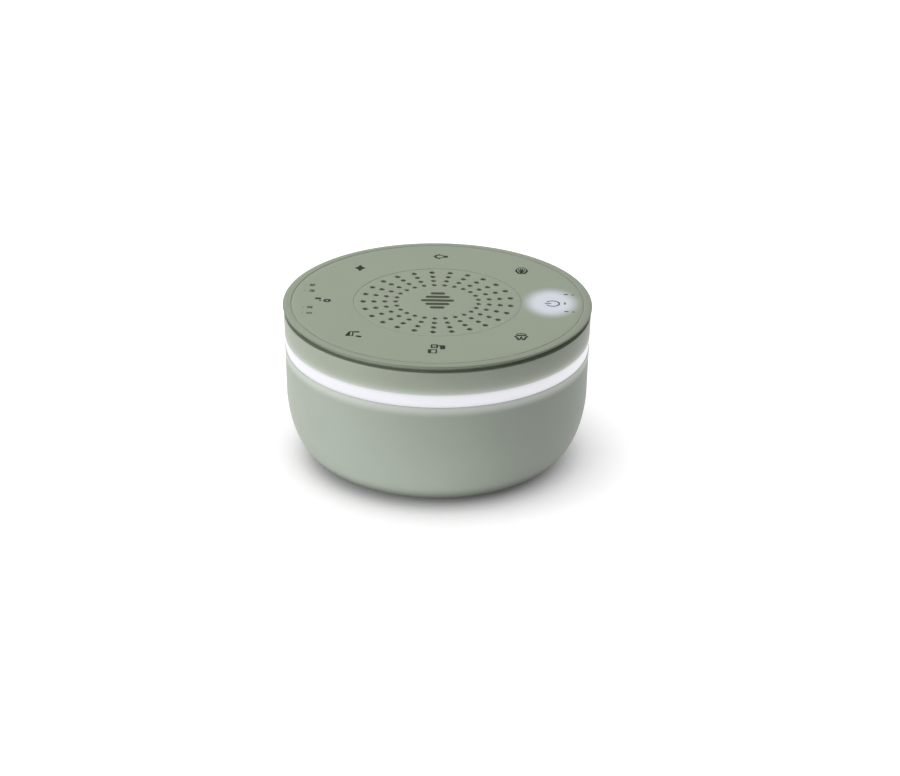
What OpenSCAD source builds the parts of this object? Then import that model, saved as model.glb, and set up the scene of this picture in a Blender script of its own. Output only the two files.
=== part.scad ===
// White noise sound machine: a round bedside unit with its speaker under the top,
// a glowing band round its side and a twist-off battery door underneath.
// The origin is the middle of the plane that the feet stand on, +Z is up,
// and +X points from the middle towards the power key. Millimetres throughout.

/* [Housing] */
// Widest diameter, at the rim of the top
body_d = 110; // [109:0.5:120]
// Height of the housing from its underside to the middle of the top
body_h = 57.6; // [56:0.2:66]
// Width of the flat ring round the battery door
base_ring_w = 3.6; // [2.5:0.1:4.2]
// Height of the curved lower part of the bowl
curve_h = 27.7; // [22:0.1:28.5]
// Roundness of the bowl's curve, where 2 is a plain ellipse
curve_power = 2.1; // [2:0.05:2.5]
// Draft of the side in degrees
side_draft = 1.6; // [0.6:0.1:2]
// Wall of the bowl
bowl_wall = 2.4; // [2:0.1:2.8]
// Wall of the upper band
band_wall = 2.2; // [1.8:0.1:2.4]
// Height of the upper band that shows
band_h = 8.85; // [8.6:0.05:9.6]
// How far the upper band stands inside the rim
band_inset = 0.35; // [0.1:0.05:0.6]
// Height of the light ring that shows
ring_h = 4.6; // [4:0.1:5.5]
// How far the light ring stands inside the bowl's side
ring_inset = 0.3; // [0.1:0.05:0.5]
// Wall of the light ring
ring_wall = 2.3; // [2:0.1:2.5]
// Depth of the spigots that seat the light ring in its neighbours
spigot_h = 1.3; // [1:0.1:1.6]

/* [Top] */
// Height of the rim's lip from its lower edge to the middle of the top
lip_h = 1; // [0.9:0.05:1.2]
// Height of the open shadow line under the lip
shadow_gap = 1.9; // [1.7:0.05:2.1]
// Width of the rim outside the panel's groove
rim_w = 2.9; // [2.5:0.05:3.3]
// Width of the groove round the panel and round the grille
groove_w = 0.25; // [0.15:0.05:0.4]
// Fall of the domed top from its middle to the groove
crown_drop = 0.2; // [0.1:0.05:0.6]
// Thickness of the grille at its middle, and depth of the panel's seat
panel_t = 1.7; // [1.5:0.05:2]
// Thickness of the deck under the panel
deck_t = 2; // [1.8:0.1:2.4]
// How far the grille reaches outside the speaker's flange
grille_edge = 1.2; // [1:0.1:2]
// Number of rings of holes in the grille
hole_rings = 4; // [3:1:4]
// Number of holes in each ring
holes_per_ring = 25; // [16:1:30]
// Radius of the innermost ring of holes
first_ring_r = 14.8; // [12:0.05:15]
// Distance from the outermost ring of holes to the edge of the grille
hole_margin = 3.38; // [3.1:0.01:4]
// Diameter of a hole in the innermost ring
first_hole_d = 1.5; // [1.2:0.05:1.7]
// Growth of the hole diameter from one ring to the next
hole_growth = 0.12; // [0:0.02:0.14]
// Turn of the hole pattern in degrees
grille_turn = 1.5; // [0:0.5:10]

/* [Keys] */
// Diameter of a key plunger's head
key_head_d = 8; // [7:0.1:8.4]
// Thickness of a key plunger's head
key_head_t = 0.8; // [0.6:0.05:0.8]
// Diameter of a key plunger's stem
key_stem_d = 3.8; // [3.2:0.1:4]
// Travel of a key
key_travel = 0.3; // [0.2:0.05:0.3]
// Side of a switch body
switch_side = 6; // [5.6:0.1:6.4]
// Height of a switch body
switch_h = 3.1; // [2.8:0.1:3.4]
// Diameter of a switch button
switch_button_d = 3.4; // [3:0.1:3.6]
// Height of a switch button above its body
switch_button_h = 0.5; // [0.4:0.05:0.6]
// Thickness of the control board
board_t = 1.6; // [1:0.1:1.8]

/* [Speaker] */
// Outer diameter of the speaker's flange
speaker_d = 57; // [56.4:0.1:57.4]
// Width of the rubber surround's roll
surround_w = 3.4; // [2.4:0.1:3.6]
// Width of the spider between the coil and its ledge
spider_w = 9.9; // [8:0.1:10.5]
// Depth of the spider's ledge below the flange
spider_depth = 5.5; // [5:0.1:6]
// Depth of the front plate below the flange
motor_depth = 8.3; // [8:0.1:10]
// Diameter of the ring magnet
magnet_d = 33; // [30:0.5:36]
// Thickness of the ring magnet
magnet_h = 6; // [4:0.25:7]
// Outer diameter of the voice coil's former
coil_d = 12.6; // [12:0.1:13]
// Travel of the cone each way
cone_travel = 0.8; // [0.4:0.1:0.8]
// Thickness of the foam gasket
gasket_t = 0.8; // [0.6:0.1:1]

/* [Battery] */
// Diameter of an AA cell
cell_d = 14.5; // [14:0.1:14.6]
// Length of an AA cell with its nub
cell_l = 50.5; // [49.5:0.1:50.6]
// Length of a pressed contact spring
spring_l = 3.5; // [3:0.1:3.6]
// Wall of the battery tray
tray_wall = 1.6; // [1.2:0.1:1.7]
// How far the battery door reaches past the corners of its opening
door_margin = 1.1; // [0.8:0.1:1.6]
// Thickness of the battery door
door_t = 1.4; // [1.2:0.1:1.6]
// Turn from locked to free, in degrees
door_turn = 18; // [16:1:18]
// Width of a door lug in degrees
lug_angle = 12; // [9:1:12]
// Thickness of the floor above the door
floor_t = 2.4; // [2:0.1:2.6]

/* [Feet and screws] */
// Height of the feet below the housing
foot_proud = 0.8; // [0.6:0.1:1.4]
// Diameter of a rubber foot
foot_d = 8; // [6:0.5:10]
// Radius of the circle that the feet lie on
foot_ring_r = 27; // [24:0.5:28]
// Angle of the housing screws from the X axis in degrees
post_angle = 22.5; // [21:0.5:23]
// Diameter of a housing screw's thread
housing_screw_d = 2.5; // [2.2:0.1:2.7]
// Diameter of a board or tray screw's thread
small_screw_d = 2; // [1.8:0.1:2.2]

/* [Hidden] */
$fn = 96;
eps = 0.01;
fit = 0.3;
slip = 0.1;
glue = 0.05;

body_r = body_d / 2;
z_base = foot_proud;
z_top = z_base + body_h;
z_deck = z_top - panel_t;
z_deck_low = z_deck - deck_t;
z_lip = z_top - lip_h;
z_band = z_lip - shadow_gap;
z_ring = z_band - band_h;
z_rim = z_ring - ring_h;
z_curve = z_base + curve_h;
z_door = z_base + door_t;
z_floor_low = z_door + slip;
z_floor = z_floor_low + floor_t;

side_top_r = body_r - band_inset;
function side_r(z) = side_top_r - (z_band - z) * tan(side_draft);
groove_r = body_r - rim_w;
panel_r = groove_r - groove_w;
speaker_r = speaker_d / 2;
grille_r = speaker_r + grille_edge;
rebate_r = grille_r - 1.2;
rebate_h = 1;
screen_r = grille_r - 1.9;
screen_t = 0.4;
ring_pitch = (grille_r - hole_margin - first_ring_r) / (hole_rings - 1);
function crown_z(r) = z_top - crown_drop * pow(r / groove_r, 2);

// light ring, and the parts of its neighbours that it seats in
ring_r = side_r(z_rim) - ring_inset;
ring_in_r = ring_r - ring_wall;
spigot_r = ring_in_r + ring_wall * 0.4;
seat_gap = 0.2;
band_in_r = side_r(z_ring) - band_wall;
edge = 0.25;

// lamp trough and the skirt of the top cover that holds it down
trough_depth = 3.8;
trough_wall = 1.2;
trough_lip = 1;
trough_out_r = ring_in_r - 0.4;
trough_in_r = trough_out_r - trough_depth;
z_trough = z_rim - 2;
trough_h = ring_h + 3.5;
rib_t = 1.6;
skirt_r = min(ring_in_r, band_in_r) - seat_gap;
skirt_wall = 1.6;
lamp_count = 24;
lamp_h = 2.8;
lamp_w = 3.5;
lamp_t = 1;
strip_t = 0.3;
lead_angle = 45;
lead_way_w = 4.4;
strip_r = trough_in_r + trough_wall + glue;
curve_steps = 18;
rib_low = z_base + 8;
rib_w = 6;

// control board
board_gap = 0.6;
board_r = skirt_r - skirt_wall - board_gap;
board_in_r = speaker_r + 2.1;
z_board = z_deck_low - switch_h - 0.8;
z_board_low = z_board - board_t;
board_post_r = 2.6;
board_post_angles = [67.5, 112.5, 247.5, 292.5];
key_ring_r = (grille_r + groove_r) / 2;
key_angles = [0, 45, 90, 135, 180, 225, 270, 315];
z_key = z_deck - 0.25;
key_fit = 0.2;
button_depth = 1.2;
glow_lamp_y = 8;
glow_lamp_h = 1.4;
glow_window_r = 2.6;
mark_lamp_w = 1.6;
mark_lamp_h = 0.7;
mark_lamp_y = [-12.6, -7.5, 7.5, 12.6];
mark_lamp_x = sqrt(pow(board_r - 0.85, 2) - pow(mark_lamp_y[0], 2));
mark_window_r = 0.8;
part_r = (board_in_r + board_r) / 2;
chip_side = 8;
chip_t = 1.3;
chip_gap = 0.1;
amplifier_x = 4;
amplifier_y = 5;
capacitor_r = 3.15;
capacitor_h = 7;
socket_x = 5;
socket_y = 7.5;
socket_h = 4.5;
socket_angles = [45, 135, 225];

// speaker
gasket_land = 1.9;
land_t = 0.4;
sheet_t = 0.8;
z_flange = z_deck_low - gasket_t - land_t;
throat_r = speaker_r - gasket_land;
roll_out_r = throat_r - 0.4;
roll_in_r = roll_out_r - surround_w;
cone_r = roll_in_r - glue;
z_spider = z_flange - spider_depth;
z_front_plate = z_flange - motor_depth;
front_plate_t = 1.6;
z_magnet_low = z_front_plate - front_plate_t - magnet_h;
back_plate_t = 1.8;
coil_r = coil_d / 2;
coil_wall = 0.2;
winding_t = 0.3;
pole_gap = 0.3;
ledge_w = 3.1;
ledge_in_r = coil_r + spider_w;
ledge_out_r = ledge_in_r + ledge_w;
spider_t = 0.3;
ear_r = 2.9;
ear_ring_r = speaker_r + 2.6;
ear_pad_r = 2.4;
ear_angles = [45, 135, 225, 315];
terminal_angle = 112.5;
terminal_x = 7;
terminal_y = 8;
terminal_t = 1.2;
terminal_r = ledge_in_r + 4.3;

// battery bay
cell_count = 3;
cell_gap = 0.4;
nub_l = 1.3;
nub_r = 2.7;
pitch = cell_d + cell_gap;
cell_z = z_door + cell_gap + cell_d / 2;
bay_x = cell_count * pitch / 2;
contact_t = 0.4;
contact_w = 11;
contact_rise = 5;
contact_y = (cell_l + spring_l) / 2;
bay_y = contact_y + contact_t;
tray_x = bay_x + tray_wall;
tray_y = bay_y + tray_wall;
z_bay = cell_z + cell_d / 2 + 0.5;
z_tray = z_bay + tray_wall + 0.2;
tag_w = 3;
tag_l = 2.5;
z_tag = z_floor + 7.9;
tab_x = tray_x + 3.4;
tab_y = bay_y - 5.9;
tab_r = 3;
tab_t = 1.6;
tab_rise = 4;
z_tab = z_floor + tab_rise;
tab_boss_r = 2.6;
tab_grip = 4.6;
opening_x = bay_x - 0.15;
opening_y = contact_y + 0.2;
opening_corner = 3;

// battery door and its bayonet lugs, which rest half a turn before the Y axis
door_r = norm([opening_x - opening_corner, opening_y - opening_corner]) + opening_corner + door_margin;
recess_r = door_r + fit;
base_r = door_r + base_ring_w;
lug_in_r = door_r - 2.5;
lug_stem = 1;
lug_out_r = door_r;
lug_t = 0.8;
lug_play = 0.6;
z_lug = z_floor + seat_gap;
lug_angles = [90 - door_turn / 2, 270 - door_turn / 2];
foot_sink = 0.4;
foot_edge = 0.4;
foot_angles = [45, 135, 225, 315];
coin_half_l = 9;
coin_half_w = 1.2;
coin_depth = 0.8;

// posts and housing screws
post_r = 3.8;
boss_r = 3;
post_clear = 1.8;
post_ring_r = max(speaker_r + boss_r + 0.5, (tray_x + post_r + post_clear) / cos(post_angle));
post_angles = [post_angle, 180 - post_angle, 180 + post_angle, -post_angle];
split_drop = 9;
z_split = z_rim - split_drop;
screw_seat = 6;
screw_grip = 9;
housing_head_r = 2.5;
housing_head_h = 1.6;
well_r = housing_head_r + fit;
small_head_r = 2;
small_head_h = 1.2;
board_grip = 3.6;
ear_grip = 2.6;

// leads: each starts at its tag, ends at its socket, and between them runs through
// points chosen by hand, whose height is counted down from the control board
wire_r = 0.65;
wire_sides = 8;
wire_steps = 4;
pin_y = 1.2;
z_pin = z_board_low - socket_h - 0.2;
function pin(angle, side, drop) = [
    part_r * cos(angle) - side * pin_y * sin(angle),
    part_r * sin(angle) + side * pin_y * cos(angle),
    z_pin - drop];
function hang(points) = [for (p = points) [p[0], p[1], z_board_low - p[2]]];
// the battery leads climb from the tags to the board, so their heights are shares of that way
function climb(points) = [for (p = points) [p[0], p[1], z_tag + p[2] * (z_board_low - z_tag)]];
function plug_end(angle, side) = [for (drop = [2.4, 1.2, 0]) pin(angle, side, drop)];
function terminal_pin(side) = [
    terminal_r * cos(terminal_angle) + (terminal_x / 2 - 1) * cos(terminal_angle)
    - side * 1.5 * sin(terminal_angle),
    terminal_r * sin(terminal_angle) + (terminal_x / 2 - 1) * sin(terminal_angle)
    + side * 1.5 * cos(terminal_angle),
    z_spider - sheet_t - terminal_t - wire_r / 2];
battery_plus_route = concat(
    [[-pitch, tray_y + tag_l + wire_r, z_tag + contact_t / 2]],
    climb([[-15.5, 34, 0.06], [-20, 36, 0.2], [-30, 29, 0.32], [-38, 15, 0.42], [-41, 0, 0.52],
    [-39, -15, 0.66], [-33, -24, 0.77]]),
    plug_end(225, -1));
battery_minus_route = concat(
    [[pitch, -tray_y - tag_l - wire_r, z_tag + contact_t / 2]],
    climb([[14.5, -34, 0.06], [10, -36, 0.25], [0, -38, 0.44], [-12, -38, 0.61], [-22, -34, 0.75]]),
    plug_end(225, 1));
speaker_plus_route = concat(
    [terminal_pin(1)],
    hang([[-10.4, 21, 5.7], [-14, 24, 8.7], [-22, 26.5, 9.7], [-28, 27, 7.7]]),
    plug_end(135, 1));
speaker_minus_route = concat(
    [terminal_pin(-1)],
    hang([[-7.6, 22.4, 5.7], [-12, 26, 8.7], [-20, 29, 9.7], [-26, 29.6, 7.7]]),
    plug_end(135, -1));
function lamp_point(side, radius) = [
    radius * cos(lead_angle) - side * sin(lead_angle),
    radius * sin(lead_angle) + side * cos(lead_angle),
    z_trough + trough_h / 2];
function lamp_route(side) = concat(
    [lamp_point(side, strip_r - 0.1), lamp_point(side, strip_r - 4.4)],
    plug_end(lead_angle, side));

// ---- helpers ----

module tube(outer, inner, low, high) {
    difference() {
        translate([0, 0, low])
            cylinder(r = outer, h = high - low);
        translate([0, 0, low - 1])
            cylinder(r = inner, h = high - low + 2);
    }
}

module rod(radius, low, high) {
    translate([0, 0, low])
        cylinder(r = radius, h = high - low);
}

module at(angle, radius) {
    rotate([0, 0, angle])
        translate([radius, 0, 0])
            children();
}

module block(size_x, size_y, low, high) {
    translate([-size_x / 2, -size_y / 2, low])
        cube([size_x, size_y, high - low]);
}

module sector(outer, inner, low, high, from, to) {
    rotate([0, 0, from])
        rotate_extrude(angle = to - from)
            translate([inner, low])
                square([outer - inner, high - low]);
}

module rounded_block(half_x, half_y, corner, low, high) {
    block(2 * half_x, 2 * (half_y - corner), low, high);
    block(2 * (half_x - corner), 2 * half_y, low, high);
    for (sx = [-1, 1])
        for (sy = [-1, 1])
            translate([sx * (half_x - corner), sy * (half_y - corner), 0])
                rod(corner, low, high);
}

// A pan head screw that points up: head under the seat, thread above it.
module screw(seat, head_r, head_h, thread_r, length) {
    difference() {
        rod(head_r, seat - head_h, seat);
        block(head_r * 1.3, 0.6, seat - head_h - 1, seat - head_h * 0.5);
        block(0.6, head_r * 1.3, seat - head_h - 1, seat - head_h * 0.5);
    }
    rod(thread_r, seat - eps, seat + length);
}

function unit(v) = v / norm(v);
// Catmull-Rom point between b and c
function between(a, b, c, d, t) =
    0.5 * (2 * b + (c - a) * t + (2 * a - 5 * b + 4 * c - d) * t * t
    + (3 * b - a - 3 * c + d) * t * t * t);
function smooth_route(p, steps) = concat(
    [for (i = [0 : len(p) - 2])
        for (k = [0 : steps - 1])
            between(p[max(i - 1, 0)], p[i], p[i + 1], p[min(i + 2, len(p) - 1)], k / steps)],
    [p[len(p) - 1]]);
function heading(p, i) = unit(p[min(i + 1, len(p) - 1)] - p[max(i - 1, 0)]);
function across(n, t) = unit(n - (n * t) * t);

// A round wire along a list of points, with its rings turned as little as possible.
module wire(p, radius, sides) {
    count = len(p);
    first = across([0.37, 0.81, 0.45], heading(p, 0));
    normals = [for (i = 0, n = first; i < count; i = i + 1, n = across(n, heading(p, min(i, count - 1)))) n];
    rings = [for (i = [0 : count - 1])
        for (k = [0 : sides - 1])
            p[i] + radius * (cos(360 * k / sides) * normals[i]
            + sin(360 * k / sides) * cross(heading(p, i), normals[i]))];
    walls = [for (i = [0 : count - 2])
        for (k = [0 : sides - 1])
            [i * sides + k, (i + 1) * sides + k,
            (i + 1) * sides + (k + 1) % sides, i * sides + (k + 1) % sides]];
    polyhedron(
        points = rings,
        faces = concat(
            walls,
            [[for (k = [0 : sides - 1]) k]],
            [[for (k = [sides - 1 : -1 : 0]) (count - 1) * sides + k]]),
        convexity = 6);
}

// ---- housing ----

// Outline of the bowl from the base to the rim, moved inwards by inset.
function bowl_curve(inset, floor_z) = [
    for (i = [0 : curve_steps])
        let (t = 90 * i / curve_steps, q = 2 / curve_power)
            [base_r + (side_r(z_curve) - base_r - inset) * pow(sin(t), q),
            floor_z + (z_curve - floor_z) * (1 - pow(cos(t), q))]];

module bowl_blank(inset, floor_z, top_z) {
    rotate_extrude()
        polygon(concat(
            [[0, floor_z]],
            bowl_curve(inset, floor_z),
            [[side_r(top_z) - inset, top_z], [0, top_z]]));
}

module lower_bowl() color("#b4bbae") {
    difference() {
        union() {
            difference() {
                bowl_blank(0, z_base, z_rim);
                bowl_blank(bowl_wall, z_floor, z_rim + 1);
            }
            // ribs that carry the lamp trough
            intersection() {
                bowl_blank(bowl_wall / 2, z_base + 1, z_rim);
                union()
                    for (angle = [0 : 45 : 315])
                        at(angle + 22.5, trough_in_r + 3)
                            block(rib_w, rib_t, rib_low, z_trough);
            }
            // posts of the housing screws
            for (angle = post_angles)
                at(angle, post_ring_r)
                    rod(post_r, z_floor - 1, z_split);
            // bosses of the tray screws
            for (sx = [-1, 1])
                for (sy = [-1, 1])
                    translate([sx * tab_x, sy * tab_y, 0])
                        rod(tab_boss_r, z_floor - 1, z_tab - glue);
        }
        // recess of the door
        rod(recess_r, z_base - 1, z_floor_low);
        // way in for the cells
        rounded_block(opening_x, opening_y, opening_corner, z_base, z_floor + eps);
        // rebate of the light ring
        rod(spigot_r + seat_gap, z_rim - spigot_h - seat_gap, z_rim + 1);
        // wells and holes of the housing screws
        for (angle = post_angles)
            at(angle, post_ring_r) {
                rod(well_r, z_base, z_split - screw_seat);
                rod(housing_screw_d / 2 + fit, z_base, z_split + 1);
            }
        // holes of the tray screws
        for (sx = [-1, 1])
            for (sy = [-1, 1])
                translate([sx * tab_x, sy * tab_y, 0])
                    rod(small_screw_d / 2 + glue, z_floor_low + 1.2, z_tab + 1);
        // bayonet slots: narrow for the stem all the way, wide where the lug comes free
        for (angle = lug_angles) {
            sector(lug_in_r + lug_stem + fit, lug_in_r - fit, z_floor_low - 1, z_floor + 1,
                angle - lug_angle / 2 - lug_play, angle + door_turn);
            sector(lug_out_r + fit - slip, lug_in_r - fit - slip, z_floor_low - 1, z_floor + 1,
                angle + door_turn - lug_angle / 2 - lug_play, angle + door_turn + lug_angle / 2 + lug_play);
        }
    }
}

module light_ring() color("#f2f4f8") rotate_extrude() polygon([
    [ring_in_r, z_rim - spigot_h], [spigot_r, z_rim - spigot_h], [spigot_r, z_rim],
    [ring_r - edge, z_rim], [ring_r, z_rim + edge], [ring_r, z_ring - edge], [ring_r - edge, z_ring],
    [spigot_r, z_ring], [spigot_r, z_ring + spigot_h], [ring_in_r, z_ring + spigot_h]
]);

module upper_band() color("#b4bbae") rotate_extrude() polygon([
    [band_in_r, z_ring + spigot_h + seat_gap], [spigot_r + seat_gap, z_ring + spigot_h + seat_gap],
    [spigot_r + seat_gap, z_ring + glue], [side_r(z_ring) - edge, z_ring + glue],
    [side_r(z_ring), z_ring + glue + edge], [side_top_r, z_band - edge],
    [side_top_r - edge, z_band], [band_in_r, z_band]
]);

module top_cover() color("#8d9686") {
    lip_start = groove_r + edge;
    lip_top = z_top - crown_drop;
    nose = (lip_top - z_lip) / 2;
    nose_z = z_lip + nose;
    // the cover stands on the band inside the shadow line
    root_r = side_top_r - 1.75;
    lip_steps = 10;
    lip_curve = concat(
        [for (i = [0 : lip_steps]) let (t = 90 * i / lip_steps)
            [lip_start + (body_r - lip_start) * sin(t), nose_z + (lip_top - nose_z) * cos(t)]],
        [for (t = [22.5 : 22.5 : 90]) [body_r - nose * (1 - cos(t)), nose_z - nose * sin(t)]]);
    difference() {
        union() {
            rotate_extrude() polygon(concat(
                [[throat_r, z_deck_low], [throat_r, z_deck - rebate_h], [rebate_r, z_deck - rebate_h],
                [rebate_r, z_deck], [groove_r, z_deck], [groove_r, lip_top - 0.1]],
                lip_curve,
                [[root_r, z_lip], [root_r, z_band + glue], [skirt_r, z_band + glue],
                [skirt_r, z_trough + trough_h + slip],
                [skirt_r - skirt_wall, z_trough + trough_h + slip],
                [skirt_r - skirt_wall, z_deck_low]]));
            // bosses of the housing screws
            for (angle = post_angles)
                at(angle, post_ring_r)
                    rod(boss_r, z_split + slip, z_deck_low + eps);
            // posts of the control board
            for (angle = board_post_angles)
                at(angle, key_ring_r)
                    rod(board_post_r, z_board, z_deck_low + eps);
            // pads over the speaker's ears
            for (angle = ear_angles)
                at(angle, ear_ring_r)
                    rod(ear_pad_r, z_flange, z_deck_low + eps);
        }
        // seats and guides of the keys
        for (angle = key_angles)
            at(angle, key_ring_r) {
                rod(key_head_d / 2 + fit, z_key - key_head_t - key_travel - 0.15, z_deck + 1);
                rod(key_stem_d / 2 + key_fit, z_deck_low - 1, z_deck);
            }
        // windows over the lamps
        for (sy = [-1, 1])
            translate([key_ring_r, sy * glow_lamp_y, 0])
                rod(glow_window_r, z_deck_low - 1, z_deck + 1);
        for (y = mark_lamp_y)
            translate([-mark_lamp_x, y, 0])
                rod(mark_window_r, z_deck_low - 1, z_deck + 1);
        // threaded holes
        for (angle = post_angles)
            at(angle, post_ring_r)
                rod(housing_screw_d / 2 + glue, z_split, z_split + screw_grip + 2);
        for (angle = board_post_angles)
            at(angle, key_ring_r)
                rod(small_screw_d / 2 + glue, z_board - 1, z_board + board_grip + 0.6);
        for (angle = ear_angles)
            at(angle, ear_ring_r)
                rod(small_screw_d / 2 + glue, z_flange - 1, z_flange + ear_grip);
    }
}

module crowned_disc(inner, outer, low, steps) {
    rotate_extrude()
        polygon(concat(
            [[inner, low]],
            [for (i = [0 : steps]) let (r = inner + (outer - 0.15 - inner) * i / steps)
                [r, crown_z(r)]],
            [[outer, crown_z(outer) - 0.15], [outer, low]]));
}

module control_panel() color("#98a18f") {
    crowned_disc(grille_r + groove_w, panel_r, z_deck, 8);
}

module speaker_grille() color("#98a18f") {
    difference() {
        union() {
            crowned_disc(0, grille_r, z_deck, 8);
            tube(rebate_r - slip, rebate_r - 0.5, z_deck - rebate_h + slip, z_deck + eps);
        }
        for (ring = [0 : hole_rings - 1])
            for (i = [0 : holes_per_ring - 1])
                at(180 + grille_turn + 360 * i / holes_per_ring, first_ring_r + ring * ring_pitch)
                    translate([0, 0, z_deck - 1])
                        cylinder(d = first_hole_d + ring * hole_growth, h = panel_t + 2, $fn = 24);
    }
}

module dust_screen() color("#3c4038") rod(screen_r, z_deck - screen_t, z_deck);

// ---- speaker ----

module speaker_basket() color("#5a5c5e") {
    neck_r = coil_r + 1.3;
    neck_out_r = ledge_in_r - 3;
    slant = 0.3;
    difference() {
        union() {
            rotate_extrude() polygon([
                [throat_r, z_flange], [throat_r, z_flange - 0.2], [ledge_out_r, z_spider],
                [ledge_in_r, z_spider], [neck_out_r, z_front_plate + sheet_t],
                [neck_r, z_front_plate + sheet_t], [neck_r, z_front_plate],
                [neck_out_r + slant, z_front_plate], [ledge_in_r + slant, z_spider - sheet_t],
                [ledge_out_r + slant, z_spider - sheet_t], [throat_r + slant, z_flange - sheet_t],
                [speaker_r, z_flange - sheet_t], [speaker_r, z_flange]
            ]);
            for (angle = ear_angles)
                at(angle, ear_ring_r)
                    difference() {
                        union() {
                            rod(ear_r, z_flange - sheet_t, z_flange);
                            translate([-ear_r, 0, 0])
                                block(2 * ear_r, 2 * ear_r, z_flange - sheet_t, z_flange);
                        }
                        translate([-ear_ring_r, 0, 0])
                            rod(throat_r + 1, z_flange - 4, z_flange + 4);
                    }
        }
        for (angle = ear_angles)
            at(angle, ear_ring_r)
                rod(small_screw_d / 2 + fit, z_flange - 4, z_flange + 4);
        // windows between the four legs
        for (angle = [0 : 90 : 270])
            sector(throat_r - 1.2, ledge_out_r + 0.9, z_spider - 2, z_flange - 1.2, angle - 30, angle + 30);
    }
}

module speaker_front_plate() color("#a8aaac") {
    tube(magnet_d / 2 - 1.5, coil_r + winding_t + pole_gap, z_front_plate - front_plate_t, z_front_plate);
}

module speaker_magnet() color("#35363a") {
    tube(magnet_d / 2, coil_r + 2.2, z_magnet_low, z_magnet_low + magnet_h);
}

module speaker_back_plate() color("#a8aaac") {
    rod(magnet_d / 2 - 1, z_magnet_low - back_plate_t, z_magnet_low);
    rod(coil_r - coil_wall - pole_gap, z_magnet_low - eps, z_front_plate);
}

module speaker_terminals() color("#b98a4a") at(terminal_angle, terminal_r)
    block(terminal_x, terminal_y, z_spider - sheet_t - terminal_t, z_spider - sheet_t);

// The former hangs in the gap; the winding is as long as the plate and the travel.
module voice_coil() color("#b5652d") {
    tube(coil_r, coil_r - coil_wall, z_front_plate - front_plate_t - 2, z_spider + 1.2);
    tube(coil_r + winding_t, coil_r - eps,
        z_front_plate - front_plate_t - cone_travel, z_front_plate + cone_travel);
}

module speaker_cone() color("#2e2e2e") {
    paper = 0.45;
    neck_z = z_spider + 0.9;
    rim_z = z_flange - glue;
    rotate_extrude() polygon([
        [coil_r + glue, neck_z], [coil_r + 0.8, neck_z], [cone_r, rim_z], [cone_r, rim_z + 0.4],
        [cone_r - 0.3, rim_z + 0.4], [coil_r + glue, neck_z + paper]
    ]);
}

module dust_cap() color("#2e2e2e") {
    cap_r = coil_r + 2;
    cap_t = 0.35;
    rise = 2.2;
    low = z_spider + 2.1;
    steps = 6;
    cap = function(i, grow) [(cap_r + grow) * sin(90 * i / steps), low + (rise + grow) * cos(90 * i / steps)];
    rotate_extrude() polygon(concat(
        [for (i = [0 : steps]) cap(i, cap_t)],
        [for (i = [steps : -1 : 0]) cap(i, 0)]));
}

module speaker_surround() color("#1e1e1e") {
    rubber = 0.4;
    mid = (roll_in_r + roll_out_r) / 2;
    half = (roll_out_r - roll_in_r) / 2;
    rise = half * 0.75;
    steps = 8;
    roll = function(i, less) [mid - (half - less) * cos(180 * i / steps),
        z_flange + 0.35 + (rise - less) * sin(180 * i / steps)];
    rotate_extrude() polygon(concat(
        [[roll_in_r, z_flange]],
        [for (i = [0 : steps]) roll(i, 0)],
        [[speaker_r - 0.3, z_flange + rubber], [speaker_r - 0.3, z_flange], [roll_out_r - rubber, z_flange]],
        [for (i = [steps : -1 : 0]) roll(i, rubber)],
        [[roll_in_r + rubber, z_flange]]));
}

// The corrugated cloth stands on its ledge, clear of the coil's former by the glue.
module speaker_spider() color("#c9b27a") {
    start = coil_r + glue;
    finish = ledge_out_r - 0.1;
    waves = 4;
    steps = 24;
    swing = 0.22;
    wave = function(i) z_spider + swing * (1 - cos(360 * waves * i / steps));
    along = function(i) start + (ledge_in_r - start) * i / steps;
    rotate_extrude() polygon(concat(
        [for (i = [0 : steps]) [along(i), wave(i) + spider_t]],
        [[finish, z_spider + spider_t], [finish, z_spider], [ledge_in_r, z_spider]],
        [for (i = [steps - 1 : -1 : 0]) [along(i), wave(i)]]));
}

module speaker_gasket() color("#2b2b2b") {
    tube(speaker_r - 0.3, throat_r + 0.3, z_flange + land_t, z_deck_low);
}

module speaker_screws() color("#c8c9cb") for (angle = ear_angles)
    at(angle, ear_ring_r)
        screw(z_flange - sheet_t, small_head_r, small_head_h, small_screw_d / 2, sheet_t + ear_grip - 0.2);

// ---- control board ----

module control_board() color("#2f6b45") difference() {
    tube(board_r, board_in_r, z_board_low, z_board);
    for (angle = post_angles)
        at(angle, post_ring_r)
            rod(boss_r + fit, z_board_low - 1, z_board + 1);
    for (angle = board_post_angles)
        at(angle, key_ring_r)
            rod(small_screw_d / 2 + fit, z_board_low - 1, z_board + 1);
}

module board_screws() color("#c8c9cb") for (angle = board_post_angles)
    at(angle, key_ring_r)
        screw(z_board_low, small_head_r, small_head_h, small_screw_d / 2, board_t + board_grip);

module switch_bodies() color("#2a2a2c") for (angle = key_angles)
    at(angle, key_ring_r)
        difference() {
            block(switch_side, switch_side, z_board, z_board + switch_h);
            rod(switch_button_d / 2 + slip, z_board + switch_h - button_depth - key_travel - slip,
                z_board + switch_h + 1);
        }

module key(angle) color("#d8d8d2") at(angle, key_ring_r) {
    rod(key_head_d / 2, z_key - key_head_t, z_key);
    rod(key_stem_d / 2, z_board + switch_h + switch_button_h + glue, z_key - key_head_t + eps);
}

module switch_button(angle) color("#b8402c") at(angle, key_ring_r)
    rod(switch_button_d / 2, z_board + switch_h - button_depth, z_board + switch_h + switch_button_h);

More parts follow.
